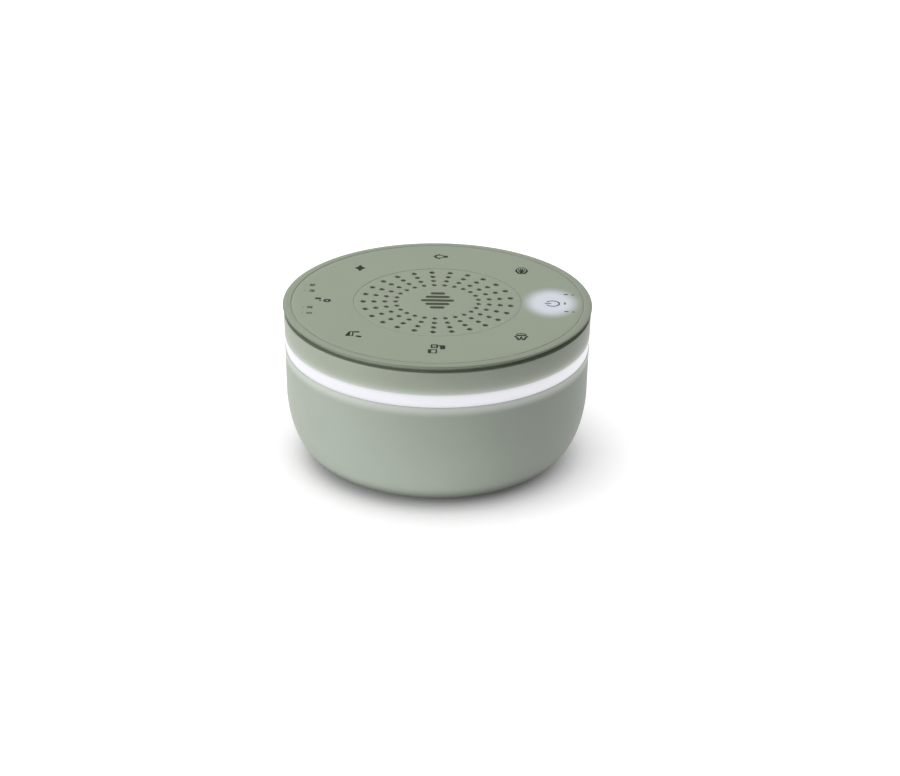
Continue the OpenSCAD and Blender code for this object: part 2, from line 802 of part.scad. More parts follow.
module key_lamps() color("#f4efc8") {
    for (sy = [-1, 1])
        translate([key_ring_r, sy * glow_lamp_y, 0])
            block(lamp_h, lamp_w, z_board, z_board + glow_lamp_h);
    for (y = mark_lamp_y)
        translate([-mark_lamp_x, y, 0])
            block(mark_lamp_w / 2, mark_lamp_w, z_board, z_board + mark_lamp_h);
}

// A chip under the board, with a row of legs along each side.
module chip(size_x, size_y, legs) {
    leg_w = 0.4;
    leg_l = 1.2;
    block(size_x, size_y, z_board_low - chip_gap - chip_t, z_board_low - chip_gap);
    for (side = [-1, 1])
        for (i = [0 : legs - 1])
            translate([side * (size_x / 2 + leg_l / 3), (i - (legs - 1) / 2) * size_y / legs, 0])
                block(leg_l, leg_w, z_board_low - chip_t / 2, z_board_low);
}

module control_chip() color("#1c1c1e") at(90, part_r)
    chip(chip_side, chip_side, 7);

module amplifier_chip() color("#1c1c1e") at(270, part_r)
    chip(amplifier_x, amplifier_y, 4);

module capacitors() color("#3a3f6b") for (angle = [0, 315])
    at(angle, part_r)
        rod(capacitor_r, z_board_low - capacitor_h, z_board_low);

module wire_sockets() color("#ece8dc") for (angle = socket_angles)
    at(angle, part_r)
        block(socket_x, socket_y, z_board_low - socket_h, z_board_low);

// ---- lamps of the light ring ----

module lamp_trough() color("#f4f4f2") difference() {
    tube(trough_out_r, trough_in_r, z_trough, z_trough + trough_h);
    tube(trough_out_r + 1, trough_in_r + trough_wall,
        z_trough + trough_lip, z_trough + trough_h - trough_lip);
    // way out for the leads
    rotate([0, 0, lead_angle])
        translate([trough_in_r, 0, 0])
            block(4 * trough_wall, lead_way_w, z_trough + trough_h / 2 - 1.2, z_trough + trough_h / 2 + 1.2);
}

module lamp_strip() color("#d9d5c4")
    tube(strip_r + strip_t, strip_r, z_trough + trough_lip + 0.2, z_trough + trough_h - trough_lip - 0.2);

module ring_lamps() color("#f6efb8") for (i = [0 : lamp_count - 1])
    at(360 * (i + 0.5) / lamp_count, strip_r + strip_t + glue + lamp_t / 2)
        block(lamp_t, lamp_w, z_trough + (trough_h - lamp_h) / 2, z_trough + (trough_h + lamp_h) / 2);

// ---- battery bay ----

module battery_tray() color("#8d9488") difference() {
    union() {
        block(2 * tray_x, 2 * tray_y, z_floor + glue, z_tray);
        for (sx = [-1, 1])
            for (sy = [-1, 1])
                translate([sx * tab_x, sy * tab_y, 0]) {
                    rod(tab_r, z_tab, z_tab + tab_t);
                    translate([-sx * (tab_x - tray_x) / 2, 0, 0])
                        block(tab_x - tray_x + 0.4, 2 * tab_r, z_tab, z_tab + tab_t);
                }
    }
    block(2 * bay_x, 2 * bay_y, z_floor - 1, z_bay);
    for (sx = [-1, 1])
        for (sy = [-1, 1])
            translate([sx * tab_x, sy * tab_y, 0])
                rod(small_screw_d / 2 + fit, z_tab - 1, z_tab + tab_t + 1);
    // ways out for the end tags
    for (side = [-1, 1])
        translate([-side * pitch, side * (bay_y + tray_wall / 2), 0])
            block(tag_w + 0.4, 2 * tray_wall, z_tag - 0.2, z_tag + contact_t + 0.2);
}

module tray_screws() color("#c8c9cb") for (sx = [-1, 1])
    for (sy = [-1, 1])
        translate([sx * tab_x, sy * tab_y, 0])
            rotate([180, 0, 0])
                screw(-z_tab - tab_t, small_head_r, small_head_h, small_screw_d / 2, tab_t + tab_grip);

// Cells lie along Y; a cell that points to +Y has its nub at that end.
module battery_cells() color("#3f4a55") for (i = [0 : cell_count - 1]) {
    point = i % 2 == 0 ? 1 : -1;
    translate([(i - (cell_count - 1) / 2) * pitch, point * contact_y, cell_z])
        rotate([point * 90, 0, 0]) {
            translate([0, 0, nub_l])
                cylinder(d = cell_d, h = cell_l - nub_l);
            cylinder(r = nub_r, h = nub_l + 1);
        }
}

module contact_plate(from_x, to_x, side) {
    translate([from_x, side > 0 ? contact_y : -bay_y, z_floor + 1])
        cube([to_x - from_x, contact_t, cell_z + contact_rise - z_floor]);
}

module battery_contacts() color("#cfd0d2") {
    half_w = contact_w / 2;
    for (side = [-1, 1]) {
        // end plate with its tag through the tray's wall
        translate([-side * pitch, 0, 0]) {
            contact_plate(-half_w, half_w, side);
            translate([-tag_w / 2, side > 0 ? contact_y : -tray_y - tag_l, z_tag])
                cube([tag_w, tray_y + tag_l - contact_y, contact_t]);
        }
        // plate that joins two cells
        contact_plate((side > 0 ? 0 : -pitch) - half_w, (side > 0 ? pitch : 0) + half_w, side);
    }
}

module battery_springs() color("#d4d6d8") {
    turns = 3;
    per_turn = 12;
    count = turns * per_turn;
    spring_wire_r = 0.35;
    wide_r = 4.6;
    narrow_r = 2.2;
    lift = spring_wire_r + 0.02;
    length = spring_l - 2 * lift;
    for (i = [0 : cell_count - 1]) {
        point = i % 2 == 0 ? 1 : -1;
        coil = function(k) wide_r + (narrow_r - wide_r) * k / count;
        wire([for (k = [0 : count]) [
            (i - (cell_count - 1) / 2) * pitch + coil(k) * cos(360 * k / per_turn),
            -point * (contact_y - lift) + point * length * k / count,
            cell_z + coil(k) * sin(360 * k / per_turn)]],
            spring_wire_r, 6);
    }
}

// ---- leads ----

module lead(route) wire(smooth_route(route, wire_steps), wire_r, wire_sides);

module battery_plus_lead() color("#b3261e") lead(battery_plus_route);

module battery_minus_lead() color("#202022") lead(battery_minus_route);

module speaker_leads() color("#c9a227") {
    lead(speaker_plus_route);
    lead(speaker_minus_route);
}

module lamp_leads() color("#e9e6da") {
    lead(lamp_route(1));
    lead(lamp_route(-1));
}

// ---- underside ----

module battery_door() color("#a9b1a3") {
    rim_edge = 0.4;
    difference() {
        union() {
            rotate_extrude() polygon([
                [0, z_base], [door_r - rim_edge, z_base], [door_r, z_base + rim_edge],
                [door_r, z_door], [0, z_door]
            ]);
            for (angle = lug_angles) {
                sector(lug_in_r + lug_stem, lug_in_r, z_door - 0.2, z_lug + lug_t,
                    angle - lug_angle / 2, angle + lug_angle / 2);
                sector(lug_out_r, lug_in_r, z_lug, z_lug + lug_t,
                    angle - lug_angle / 2, angle + lug_angle / 2);
            }
        }
        // coin slot
        rounded_block(coin_half_l, coin_half_w, coin_half_w - slip, z_base - 1, z_base + coin_depth);
        // seats of the feet
        for (angle = foot_angles)
            at(angle, foot_ring_r)
                rod(foot_d / 2 + slip, z_base - 1, z_base + foot_sink);
    }
}

module rubber_feet() color("#4a4d48") for (angle = foot_angles)
    at(angle, foot_ring_r)
        rotate_extrude() polygon([
            [0, 0], [foot_d / 2 - foot_edge, 0], [foot_d / 2, foot_edge],
            [foot_d / 2, z_base + foot_sink], [0, z_base + foot_sink]
        ]);

module housing_screws() color("#c8c9cb") for (angle = post_angles)
    at(angle, post_ring_r)
        screw(z_split - screw_seat, housing_head_r, housing_head_h, housing_screw_d / 2,
            screw_seat + screw_grip);

// ---- the assembly ----

lower_bowl();
light_ring();
upper_band();
top_cover();
control_panel();
speaker_grille();
dust_screen();
speaker_basket();
speaker_front_plate();
speaker_magnet();
speaker_back_plate();
speaker_terminals();
speaker_cone();
voice_coil();
dust_cap();
speaker_surround();
speaker_spider();
speaker_gasket();
speaker_screws();
control_board();
board_screws();
switch_bodies();
key(0);  // power_key
key(45);  // fan_key
key(90);  // lamp_key
key(135);  // star_key
key(180);  // timer_key
key(225);  // song_key
key(270);  // surf_key
key(315);  // rain_key
switch_button(0);  // power_switch_button
switch_button(45);  // fan_switch_button
switch_button(90);  // lamp_switch_button
switch_button(135);  // star_switch_button
switch_button(180);  // timer_switch_button
switch_button(225);  // song_switch_button
switch_button(270);  // surf_switch_button
switch_button(315);  // rain_switch_button
key_lamps();
control_chip();
amplifier_chip();
capacitors();
wire_sockets();
lamp_trough();
lamp_strip();
ring_lamps();
battery_tray();
tray_screws();
battery_cells();
battery_contacts();
battery_springs();
battery_plus_lead();
battery_minus_lead();
speaker_leads();
lamp_leads();
battery_door();
rubber_feet();
housing_screws();
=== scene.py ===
import math

import bmesh
import bpy
from mathutils import Matrix, Vector


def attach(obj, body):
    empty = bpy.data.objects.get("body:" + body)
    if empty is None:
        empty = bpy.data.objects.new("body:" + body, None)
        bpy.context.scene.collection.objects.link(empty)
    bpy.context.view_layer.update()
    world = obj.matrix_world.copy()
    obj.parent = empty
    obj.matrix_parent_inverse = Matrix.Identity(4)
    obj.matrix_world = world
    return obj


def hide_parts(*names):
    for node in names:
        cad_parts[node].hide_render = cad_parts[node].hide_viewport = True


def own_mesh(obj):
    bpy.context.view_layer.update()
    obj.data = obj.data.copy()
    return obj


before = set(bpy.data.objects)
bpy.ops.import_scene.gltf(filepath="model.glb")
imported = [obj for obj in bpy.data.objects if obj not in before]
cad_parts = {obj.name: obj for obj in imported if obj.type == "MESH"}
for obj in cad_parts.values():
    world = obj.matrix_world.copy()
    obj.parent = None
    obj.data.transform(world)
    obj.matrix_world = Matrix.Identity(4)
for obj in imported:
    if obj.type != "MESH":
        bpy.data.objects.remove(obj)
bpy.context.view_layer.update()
print("frame loaded:", len(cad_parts), "nodes")


def linear(code):
    # sRGB hex to the linear colour that the shaders want
    channels = [int(code[i:i + 2], 16) / 255 for i in (1, 3, 5)]
    return tuple(c / 12.92 if c <= 0.04045 else ((c + 0.055) / 1.055) ** 2.4 for c in channels) + (1.0,)


def addNode(tree, kind, settings=None, sockets=None):
    node = tree.nodes.new(kind)
    for name, value in (settings or {}).items():
        setattr(node, name, value)
    for key, value in (sockets or {}).items():
        if isinstance(value, bpy.types.NodeSocket):
            tree.links.new(value, node.inputs[key])
        else:
            node.inputs[key].default_value = value
    return node


smoothStep = {"interpolation_type": "SMOOTHSTEP"}
colourMix = {"data_type": "RGBA"}
noiseSpan = {1: 0.3, 2: 0.7}  # a noise hardly leaves this range


def startMaterial(name):
    material = bpy.data.materials.new(name)
    material.use_nodes = True
    tree = material.node_tree
    tree.nodes.clear()
    output = tree.nodes.new("ShaderNodeOutputMaterial")
    place = addNode(tree, "ShaderNodeTexCoord")
    return material, tree, output, place.outputs["Object"]


def makePiece(name, bm, material, carrier, replaced=(), sharpAngle=32):
    # millimetres in the bmesh, metres on the object
    bmesh.ops.scale(bm, vec=(0.001, 0.001, 0.001), verts=bm.verts)
    for face in bm.faces:
        face.smooth = True
    for edge in bm.edges:
        if len(edge.link_faces) == 2 and edge.calc_face_angle(0) > math.radians(sharpAngle):
            edge.smooth = False
    mesh = bpy.data.meshes.new(name)
    bm.to_mesh(mesh)
    bm.free()
    mesh.materials.append(material)
    piece = bpy.data.objects.new(name, mesh)
    bpy.context.scene.collection.objects.link(piece)
    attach(piece, carrier)
    if replaced:
        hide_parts(*replaced)
    return piece


def lathe(outline, steps=180):
    # spins a closed outline of (radius, height) points about Z; points on the axis are merged into a pole
    bm = bmesh.new()
    verts = [bm.verts.new((r, 0, z)) for r, z in outline]
    pairs = zip(verts, verts[1:] + verts[:1])
    edges = [bm.edges.new(pair) for pair in pairs if max(pair[0].co.x, pair[1].co.x) >= 1e-6]
    bmesh.ops.spin(bm, geom=verts + edges, cent=(0, 0, 0), axis=(0, 0, 1), dvec=(0, 0, 0),
                   angle=math.tau, steps=steps, use_merge=True, use_normal_flip=False, use_duplicate=False)
    bmesh.ops.remove_doubles(bm, verts=bm.verts, dist=1e-4)
    bmesh.ops.recalc_face_normals(bm, faces=bm.faces)
    return bm


def roundEdges(bm, offset, segments, minAngle, chosen):
    edges = [e for e in bm.edges if len(e.link_faces) == 2
             and e.calc_face_angle(0) > math.radians(minAngle) and chosen(e)]
    bmesh.ops.bevel(bm, geom=edges, offset=offset, offset_type="OFFSET", segments=segments,
                    profile=0.5, affect="EDGES", clamp_overlap=True, material=-1)


def middle(edge):
    return (edge.verts[0].co + edge.verts[1].co) / 2


shot = {"distance": 1.2518, "elevation": 23.645, "turn": 0.87, "roll": 0.53, "lens": 140.75, "sensor": 36,
        "topHeight": 0.0584, "topPixel": (437.52, 301.46), "picture": (900, 776)}

elevation, turn, roll = (math.radians(shot[key]) for key in ("elevation", "turn", "roll"))
topMiddle = Vector((0, 0, shot["topHeight"]))
toCamera = Vector((math.cos(elevation) * math.sin(turn), -math.cos(elevation) * math.cos(turn),
                   math.sin(elevation)))
eye = topMiddle + toCamera * shot["distance"]
levelWay = Vector((0, 0, 1)).cross(toCamera).normalized()
plumbWay = toCamera.cross(levelWay)
# the camera leans a little about its own axis
rightWay = levelWay * math.cos(roll) + plumbWay * math.sin(roll)
upWay = plumbWay * math.cos(roll) - levelWay * math.sin(roll)
perPixel = shot["distance"] * shot["sensor"] / shot["lens"] / shot["picture"][0]
aim = (topMiddle + rightWay * (shot["picture"][0] / 2 - shot["topPixel"][0]) * perPixel
       - upWay * (shot["picture"][1] / 2 - shot["topPixel"][1]) * perPixel)
backWay = (eye - aim).normalized()
sideWay = upWay.cross(backWay).normalized()
camera = bpy.data.objects.new("camera", bpy.data.cameras.new("camera"))
camera.data.lens = shot["lens"]
camera.data.sensor_width = shot["sensor"]
camera.location = eye
camera.rotation_euler = Matrix((sideWay, backWay.cross(sideWay), backWay)).transposed().to_euler()
bpy.context.scene.collection.objects.link(camera)
bpy.context.scene.camera = camera
print("camera placed")


# metres; a painted glow of the paper is nothing at the distance ends, and whole at the distance full, from
# its middle
studio = {"paper": "#f6f6f5", "paperSeen": "#bbbbbb", "skyReach": 0.25, "liftShade": 0.03, "liftOpen": 0.9,
          "ambient": 0.17, "floorSize": 12.0, "floorDrop": 0.00002, "lampAim": (0, 0, 0.03)}
paintedPaperGlows = {
    "round": {"middle": (0, 0, 0), "ends": 0.035, "full": 0.075, "strength": 0.48},
    "near": {"middle": (-0.018, -0.082, 0), "ends": 0.075, "full": 0.015, "strength": 0.62},
    "under": {"middle": (0, 0, 0), "ends": 0.034, "full": 0.026, "strength": 0.9},
}


def floorMaterial():
    # white studio paper under a big soft light: the camera, and gloss, see it lit by a painted glow whose
    # strength follows an ambient-occlusion node, white wherever the open sky reaches it, so its contact
    # shadow is painted; the lamps' shadows stay real
    material, tree, output, place = startMaterial("studioPaper")
    path = addNode(tree, "ShaderNodeLightPath")
    seen = addNode(tree, "ShaderNodeMath", {"operation": "MAXIMUM"},
                   {0: path.outputs["Is Camera Ray"], 1: path.outputs["Is Glossy Ray"]})
    paper = addNode(tree, "ShaderNodeMix", colourMix,
                    {0: seen.outputs[0], 6: linear(studio["paper"]), 7: linear(studio["paperSeen"])})
    sheet = addNode(tree, "ShaderNodeBsdfDiffuse", sockets={"Color": paper.outputs[2]})
    # painted glow for camera and gloss rays: its strength follows the occlusion, which paints the contact
    # shadow
    openSky = addNode(tree, "ShaderNodeAmbientOcclusion", {"samples": 8}, {"Distance": studio["skyReach"]})
    lift = addNode(tree, "ShaderNodeMapRange", smoothStep,
                   {"Value": openSky.outputs["AO"], 3: studio["liftShade"], 4: studio["liftOpen"]})
    # for other rays the paper glows with painted light in place of the light it throws back up: all round,
    # most where the key lamp strikes it, in front on the left, and right under the machine, where it lights
    # the underside
    back = 0.0
    for v in paintedPaperGlows.values():
        away = addNode(tree, "ShaderNodeVectorMath", {"operation": "DISTANCE"}, {0: place, 1: v["middle"]})
        share = addNode(tree, "ShaderNodeMapRange", smoothStep,
                        {"Value": away.outputs["Value"], 1: v["ends"], 2: v["full"],
                         3: 0.0, 4: v["strength"]})
        total = addNode(tree, "ShaderNodeMath", {"operation": "ADD"}, {0: share.outputs[0], 1: back})
        back = total.outputs[0]
    level = addNode(tree, "ShaderNodeMix", {"data_type": "FLOAT"},
                    {0: seen.outputs[0], 2: back, 3: lift.outputs[0]})
    glow = addNode(tree, "ShaderNodeEmission", sockets={"Color": (1, 1, 1, 1), "Strength": level.outputs[0]})
    both = addNode(tree, "ShaderNodeAddShader", sockets={0: sheet.outputs[0], 1: glow.outputs[0]})
    # from below the sheet is clear, so that the feet and the battery door can be looked at
    side = addNode(tree, "ShaderNodeNewGeometry")
    clear = addNode(tree, "ShaderNodeBsdfTransparent")
    oneSided = addNode(tree, "ShaderNodeMixShader",
                       sockets={0: side.outputs["Backfacing"], 1: both.outputs[0], 2: clear.outputs[0]})
    tree.links.new(oneSided.outputs[0], output.inputs["Surface"])
    return material


floorMesh = bmesh.new()
bmesh.ops.create_grid(floorMesh, x_segments=4, y_segments=4, size=studio["floorSize"] / 2)
floorData = bpy.data.meshes.new("floor")
floorMesh.to_mesh(floorData)
floorMesh.free()
floorData.materials.append(floorMaterial())
floor = bpy.data.objects.new("floor", floorData)
# a hair below the feet, so that the paper and the rubber don't share one plane
floor.location.z = -studio["floorDrop"]
bpy.context.scene.collection.objects.link(floor)

world = bpy.data.worlds.new("studio")
bpy.context.scene.world = world
world.use_nodes = True
worldTree = world.node_tree
worldTree.nodes.clear()
worldOut = worldTree.nodes.new("ShaderNodeOutputWorld")
worldPath = addNode(worldTree, "ShaderNodeLightPath")
seenClear = addNode(worldTree, "ShaderNodeMath", {"operation": "MAXIMUM"},
                    {0: worldPath.outputs["Is Camera Ray"], 1: worldPath.outputs["Is Transmission Ray"]})
seenDirect = addNode(worldTree, "ShaderNodeMath", {"operation": "MAXIMUM"},
                     {0: seenClear.outputs[0], 1: worldPath.outputs["Is Glossy Ray"]})
fill = addNode(worldTree, "ShaderNodeBackground",
               sockets={"Color": (1, 1, 1, 1), "Strength": studio["ambient"]})
white = addNode(worldTree, "ShaderNodeBackground", sockets={"Color": (1, 1, 1, 1), "Strength": 1.0})
worldMix = addNode(worldTree, "ShaderNodeMixShader",
                   sockets={0: seenDirect.outputs[0], 1: fill.outputs[0], 2: white.outputs[0]})
worldTree.links.new(worldMix.outputs[0], worldOut.inputs["Surface"])

lamps = {
    "keyLeft": {"at": (-0.88, -0.43, 0.24), "size": (1.2, 0.35), "watts": 7.0},
    "topSoft": {"at": (-0.25, 0.1, 1.1), "size": (1.0, 1.0), "watts": 7.0},
    "rimBack": {"at": (0.8, 0.55, 0.27), "size": (0.5, 0.4), "watts": 1.15},
}
for lampName, v in lamps.items():
    lampData = bpy.data.lights.new(lampName, "AREA")
    lampData.shape = "RECTANGLE"
    lampData.size, lampData.size_y = v["size"]
    lampData.energy = v["watts"]
    lamp = bpy.data.objects.new(lampName, lampData)
    lamp.location = v["at"]
    lamp.rotation_euler = (Vector(studio["lampAim"]) - Vector(v["at"])).to_track_quat("-Z", "Y").to_euler()
    lamp.visible_camera = False
    bpy.context.scene.collection.objects.link(lamp)
bpy.context.scene.view_settings.view_transform = "Standard"
print("studio set")


# millimetres; makePiece and the materials turn them to metres
body = {"radius": 55.0, "baseRadius": 38.59, "bottom": 0.8, "curveTop": 28.5, "curvePower": 2.1,
        "sideRadius": 54.65, "draft": 1.6, "rim": 42.05, "ring": 46.65, "band": 55.5, "lip": 57.4,
        "nose": 57.8, "deck": 56.7, "top": 58.4, "crownDrop": 0.2, "groove": 52.1, "grooveWidth": 0.25,
        "grille": 29.7, "grilleMargin": 1.0, "inkDepth": 0.03, "inkThick": 0.048}


def sideRadius(z):
    return body["sideRadius"] - (body["band"] - z) * math.tan(math.radians(body["draft"]))


def crown(r):
    return body["top"] - body["crownDrop"] * (r / body["groove"]) ** 2


def grainedPlastic(name, v):
    # ABS from a spark-eroded tool: satin, with a fine even grain and hardly any colour change;
    # the real grit is about 0.05 mm and is drawn at grainMm so that it shows at all
    material, tree, output, place = startMaterial(name)
    cloud = addNode(tree, "ShaderNodeTexNoise", None,
                    {"Vector": place, "Scale": 1000 / v["cloudMm"], "Detail": 3.0, "Roughness": 0.55})
    cloudSpan = addNode(tree, "ShaderNodeMapRange", None, {"Value": cloud.outputs[0], **noiseSpan})
    colour = addNode(tree, "ShaderNodeMix", colourMix,
                     {0: cloudSpan.outputs[0], 6: linear(v["colour"]), 7: linear(v["cloudColour"])})
    grain = addNode(tree, "ShaderNodeTexNoise", None,
                    {"Vector": place, "Scale": 1000 / v["grainMm"], "Detail": 2.0, "Roughness": 0.6})
    pits = addNode(tree, "ShaderNodeTexVoronoi", {"feature": "SMOOTH_F1"},
                   {"Vector": place, "Scale": 1000 / (v["grainMm"] * 1.6), "Smoothness": 0.6})
    relief = addNode(tree, "ShaderNodeMath", {"operation": "MULTIPLY_ADD"},
                     {0: pits.outputs[0], 1: 0.5, 2: grain.outputs[0]})
    bump = addNode(tree, "ShaderNodeBump", None,
                   {"Strength": v["bump"], "Distance": v["grainDepthMm"] / 1000, "Height": relief.outputs[0]})
    rough = addNode(tree, "ShaderNodeMapRange", None,
                    {"Value": grain.outputs[0], **noiseSpan,
                     3: v["roughness"] - 0.05, 4: v["roughness"] + 0.05})
    shader = addNode(tree, "ShaderNodeBsdfPrincipled", None,
                     {"Base Color": colour.outputs[2], "Roughness": rough.outputs[0], "IOR": 1.5,
                      "Specular IOR Level": v.get("specular", 0.5), "Normal": bump.outputs[0]})
    tree.links.new(shader.outputs[0], output.inputs["Surface"])
    return material, tree, place, shader, colour


def paintRingLight(plastic, v):
    # painted light: emission in the plastic stands in for the light that the glowing ring lays on the plastic
    # next to it;
    # it dies away fast up the band, and stays even for evenMm on the shoulder of the bowl before it fades
    material, tree, place, shader, colour = plastic
    split = addNode(tree, "ShaderNodeSeparateXYZ", None, {0: place})
    height = split.outputs["Z"]
    over = addNode(tree, "ShaderNodeMath", {"operation": "MULTIPLY_ADD"},
                   {0: height, 1: -1000 / v["decayMm"], 2: v["top"] / v["decayMm"]})
    fade = addNode(tree, "ShaderNodeMath", {"operation": "EXPONENT"}, {0: over.outputs[0]})
    above = addNode(tree, "ShaderNodeMath", {"operation": "GREATER_THAN"},
                    {0: height, 1: (v["top"] - v["seam"]) / 1000})
    up = addNode(tree, "ShaderNodeMath", {"operation": "MULTIPLY"}, {0: fade.outputs[0], 1: above.outputs[0]})
    down = addNode(tree, "ShaderNodeMapRange", smoothStep,
                   {"Value": height, 1: (v["low"] - v["reachMm"]) / 1000, 2: (v["low"] - v["evenMm"]) / 1000,
                    3: 0.0, 4: v["downStrength"] / v["upStrength"]})
    below = addNode(tree, "ShaderNodeMath", {"operation": "LESS_THAN"},
                    {0: height, 1: (v["low"] + v["seam"]) / 1000})
    both = addNode(tree, "ShaderNodeMath", {"operation": "MULTIPLY_ADD"},
                   {0: down.outputs[0], 1: below.outputs[0], 2: up.outputs[0]})
    strength = addNode(tree, "ShaderNodeMath", {"operation": "MULTIPLY"},
                       {0: both.outputs[0], 1: v["upStrength"]})
    shader.inputs["Emission Color"].default_value = linear(v["colour"])
    tree.links.new(strength.outputs[0], shader.inputs["Emission Strength"])
    return material


def fromAxis(tree, place):
    split = addNode(tree, "ShaderNodeSeparateXYZ", None, {0: place})
    flat = addNode(tree, "ShaderNodeCombineXYZ", None,
                   {0: split.outputs["X"], 1: split.outputs["Y"], 2: 0.0})
    far = addNode(tree, "ShaderNodeVectorMath", {"operation": "LENGTH"}, {0: flat.outputs[0]})
    return far.outputs["Value"]


def lowDown(tree, place):
    # counted so that it grows towards the floor
    split = addNode(tree, "ShaderNodeSeparateXYZ", None, {0: place})
    down = addNode(tree, "ShaderNodeMath", {"operation": "MULTIPLY"}, {0: split.outputs["Z"], 1: -1.0})
    return down.outputs[0]


def downHoles(tree, place):
    # how far a point lies under the domed face of the top, counted only where the holes are
    radius = fromAxis(tree, place)
    split = addNode(tree, "ShaderNodeSeparateXYZ", None, {0: place})
    square = addNode(tree, "ShaderNodeMath", {"operation": "MULTIPLY"}, {0: radius, 1: radius})
    bend = -1000 * body["crownDrop"] / body["groove"] ** 2
    face = addNode(tree, "ShaderNodeMath", {"operation": "MULTIPLY_ADD"},
                   {0: square.outputs[0], 1: bend, 2: body["top"] / 1000})
    depth = addNode(tree, "ShaderNodeMath", {"operation": "SUBTRACT"},
                    {0: face.outputs[0], 1: split.outputs["Z"]})
    near = addNode(tree, "ShaderNodeMath", {"operation": "LESS_THAN"},
                   {0: radius, 1: (body["grille"] - body["grilleMargin"]) / 1000})
    inHoles = addNode(tree, "ShaderNodeMath", {"operation": "MULTIPLY"},
                      {0: depth.outputs[0], 1: near.outputs[0]})
    return inHoles.outputs[0]


def roundNose(tree, place):
    # grows outwards along the top of the lip and goes on growing down round its nose
    split = addNode(tree, "ShaderNodeSeparateXYZ", None, {0: place})
    out = addNode(tree, "ShaderNodeMath", {"operation": "SUBTRACT"},
                  {0: fromAxis(tree, place), 1: split.outputs["Z"]})
    nose = addNode(tree, "ShaderNodeMath", {"operation": "ADD"}, {0: out.outputs[0], 1: body["nose"] / 1000})
    return nose.outputs[0]


def paintShadePast(plastic, measure, v):
    # painted shade: the colour turns darker past a measure, where less light falls: on the turned-down edge
    # of the lip, on the walls of the holes, and on the foot of the bowl
    material, tree, place, shader, colour = plastic
    share = addNode(tree, "ShaderNodeMapRange", smoothStep,
                    {"Value": measure(tree, place), 1: v["start"] / 1000, 2: v["end"] / 1000})
    shade = addNode(tree, "ShaderNodeMix", colourMix,
                    {0: share.outputs[0], 6: colour.outputs[2], 7: linear(v["dark"])})
    tree.links.new(shade.outputs[2], shader.inputs["Base Color"])
    return material


# a painted shade starts and ends at a measure in millimetres
shellLook = {"colour": "#8c9489", "cloudColour": "#8f978c", "cloudMm": 22, "grainMm": 0.32,
             "grainDepthMm": 0.02, "bump": 0.25, "roughness": 0.5}
# painted shade: the bowl darkens towards the floor, in place of the contact shadow at its foot
footPaintedShade = {"start": -8.8, "end": -1.8, "dark": "#5a6058"}
bandLook = {"colour": "#848c7d", "cloudColour": "#878f80", "cloudMm": 22, "grainMm": 0.32,
            "grainDepthMm": 0.02, "bump": 0.25, "roughness": 0.46, "specular": 0.65}
ringSpill = {"colour": "#f3f4f8", "top": body["ring"], "low": body["rim"], "seam": 1, "decayMm": 1.1,
             "upStrength": 0.36, "reachMm": 4.0, "evenMm": 0.8, "downStrength": 0.19}
rimLook = {"colour": "#929c89", "cloudColour": "#959f8d", "cloudMm": 18, "grainMm": 0.32,
           "grainDepthMm": 0.02, "bump": 0.22, "roughness": 0.48}
# painted shade on the lip's outer edge: darker out along its top and round its turned-down nose
rimEdge = {"start": 54.25, "end": 54.95, "dark": "#687060"}

shellMade = grainedPlastic("mouldedAbsShell", shellLook)
# painted shade at the foot of the bowl
paintShadePast(shellMade, lowDown, footPaintedShade)
# painted light from the glowing ring on the bowl and the band
shellPlastic = paintRingLight(shellMade, ringSpill)
bandPlastic = paintRingLight(grainedPlastic("mouldedAbsBand", bandLook), ringSpill)
# painted shade on the lip's edge
rimPlastic = paintShadePast(grainedPlastic("mouldedAbsRim", rimLook), roundNose, rimEdge)

panelLook = {"colour": "#98a28e", "cloudColour": "#9aa490", "cloudMm": 26, "grainMm": 0.28,
             "grainDepthMm": 0.015, "bump": 0.2, "roughness": 0.52}
# painted shade in the grille's holes: darker with depth under the domed face
paintedHoleShade = {"start": 0.04, "end": 0.12, "dark": "#939c88"}
powerGlow = {"x": 40.4, "y": 0.6, "halfX": 8.4, "halfY": 10.9, "inner": 0.6, "outer": 1.35,
             "glow": "#9f9db6", "strength": 1.0}


def panelMaterial(name, v, lit):
    # the printed panel; the key under the power symbol is lit through it as a soft oval, and the holes' walls
    # get painted shade
    plastic = grainedPlastic(name, v)
    material, tree, place, shader, colour = plastic
    split = addNode(tree, "ShaderNodeSeparateXYZ", None, {0: place})
    alongX = addNode(tree, "ShaderNodeMath", {"operation": "MULTIPLY_ADD"},
                     {0: split.outputs["X"], 1: 1000 / lit["halfX"], 2: -lit["x"] / lit["halfX"]})
    alongY = addNode(tree, "ShaderNodeMath", {"operation": "MULTIPLY_ADD"},
                     {0: split.outputs["Y"], 1: 1000 / lit["halfY"], 2: -lit["y"] / lit["halfY"]})
    flat = addNode(tree, "ShaderNodeCombineXYZ", None, {0: alongX.outputs[0], 1: alongY.outputs[0], 2: 0.0})
    far = addNode(tree, "ShaderNodeVectorMath", {"operation": "LENGTH"}, {0: flat.outputs[0]})
    spot = addNode(tree, "ShaderNodeMapRange", smoothStep,
                   {"Value": far.outputs["Value"], 1: lit["outer"], 2: lit["inner"], 3: 0.0, 4: 1.0})
    strength = addNode(tree, "ShaderNodeMath", {"operation": "MULTIPLY"},
                       {0: spot.outputs[0], 1: lit["strength"]})
    shader.inputs["Emission Color"].default_value = linear(lit["glow"])
    tree.links.new(strength.outputs[0], shader.inputs["Emission Strength"])
    return paintShadePast(plastic, downHoles, paintedHoleShade)


panelPlastic = panelMaterial("printedPanel", panelLook, powerGlow)

ringLook = {"colour": "#6c6d70", "glow": "#f1f1f7", "middle": 44.35, "half": 2.3, "evenShare": 0.4,
            "strength": 0.73, "edgeStrength": 0.64, "frostMm": 0.5, "frostDepthMm": 0.01}


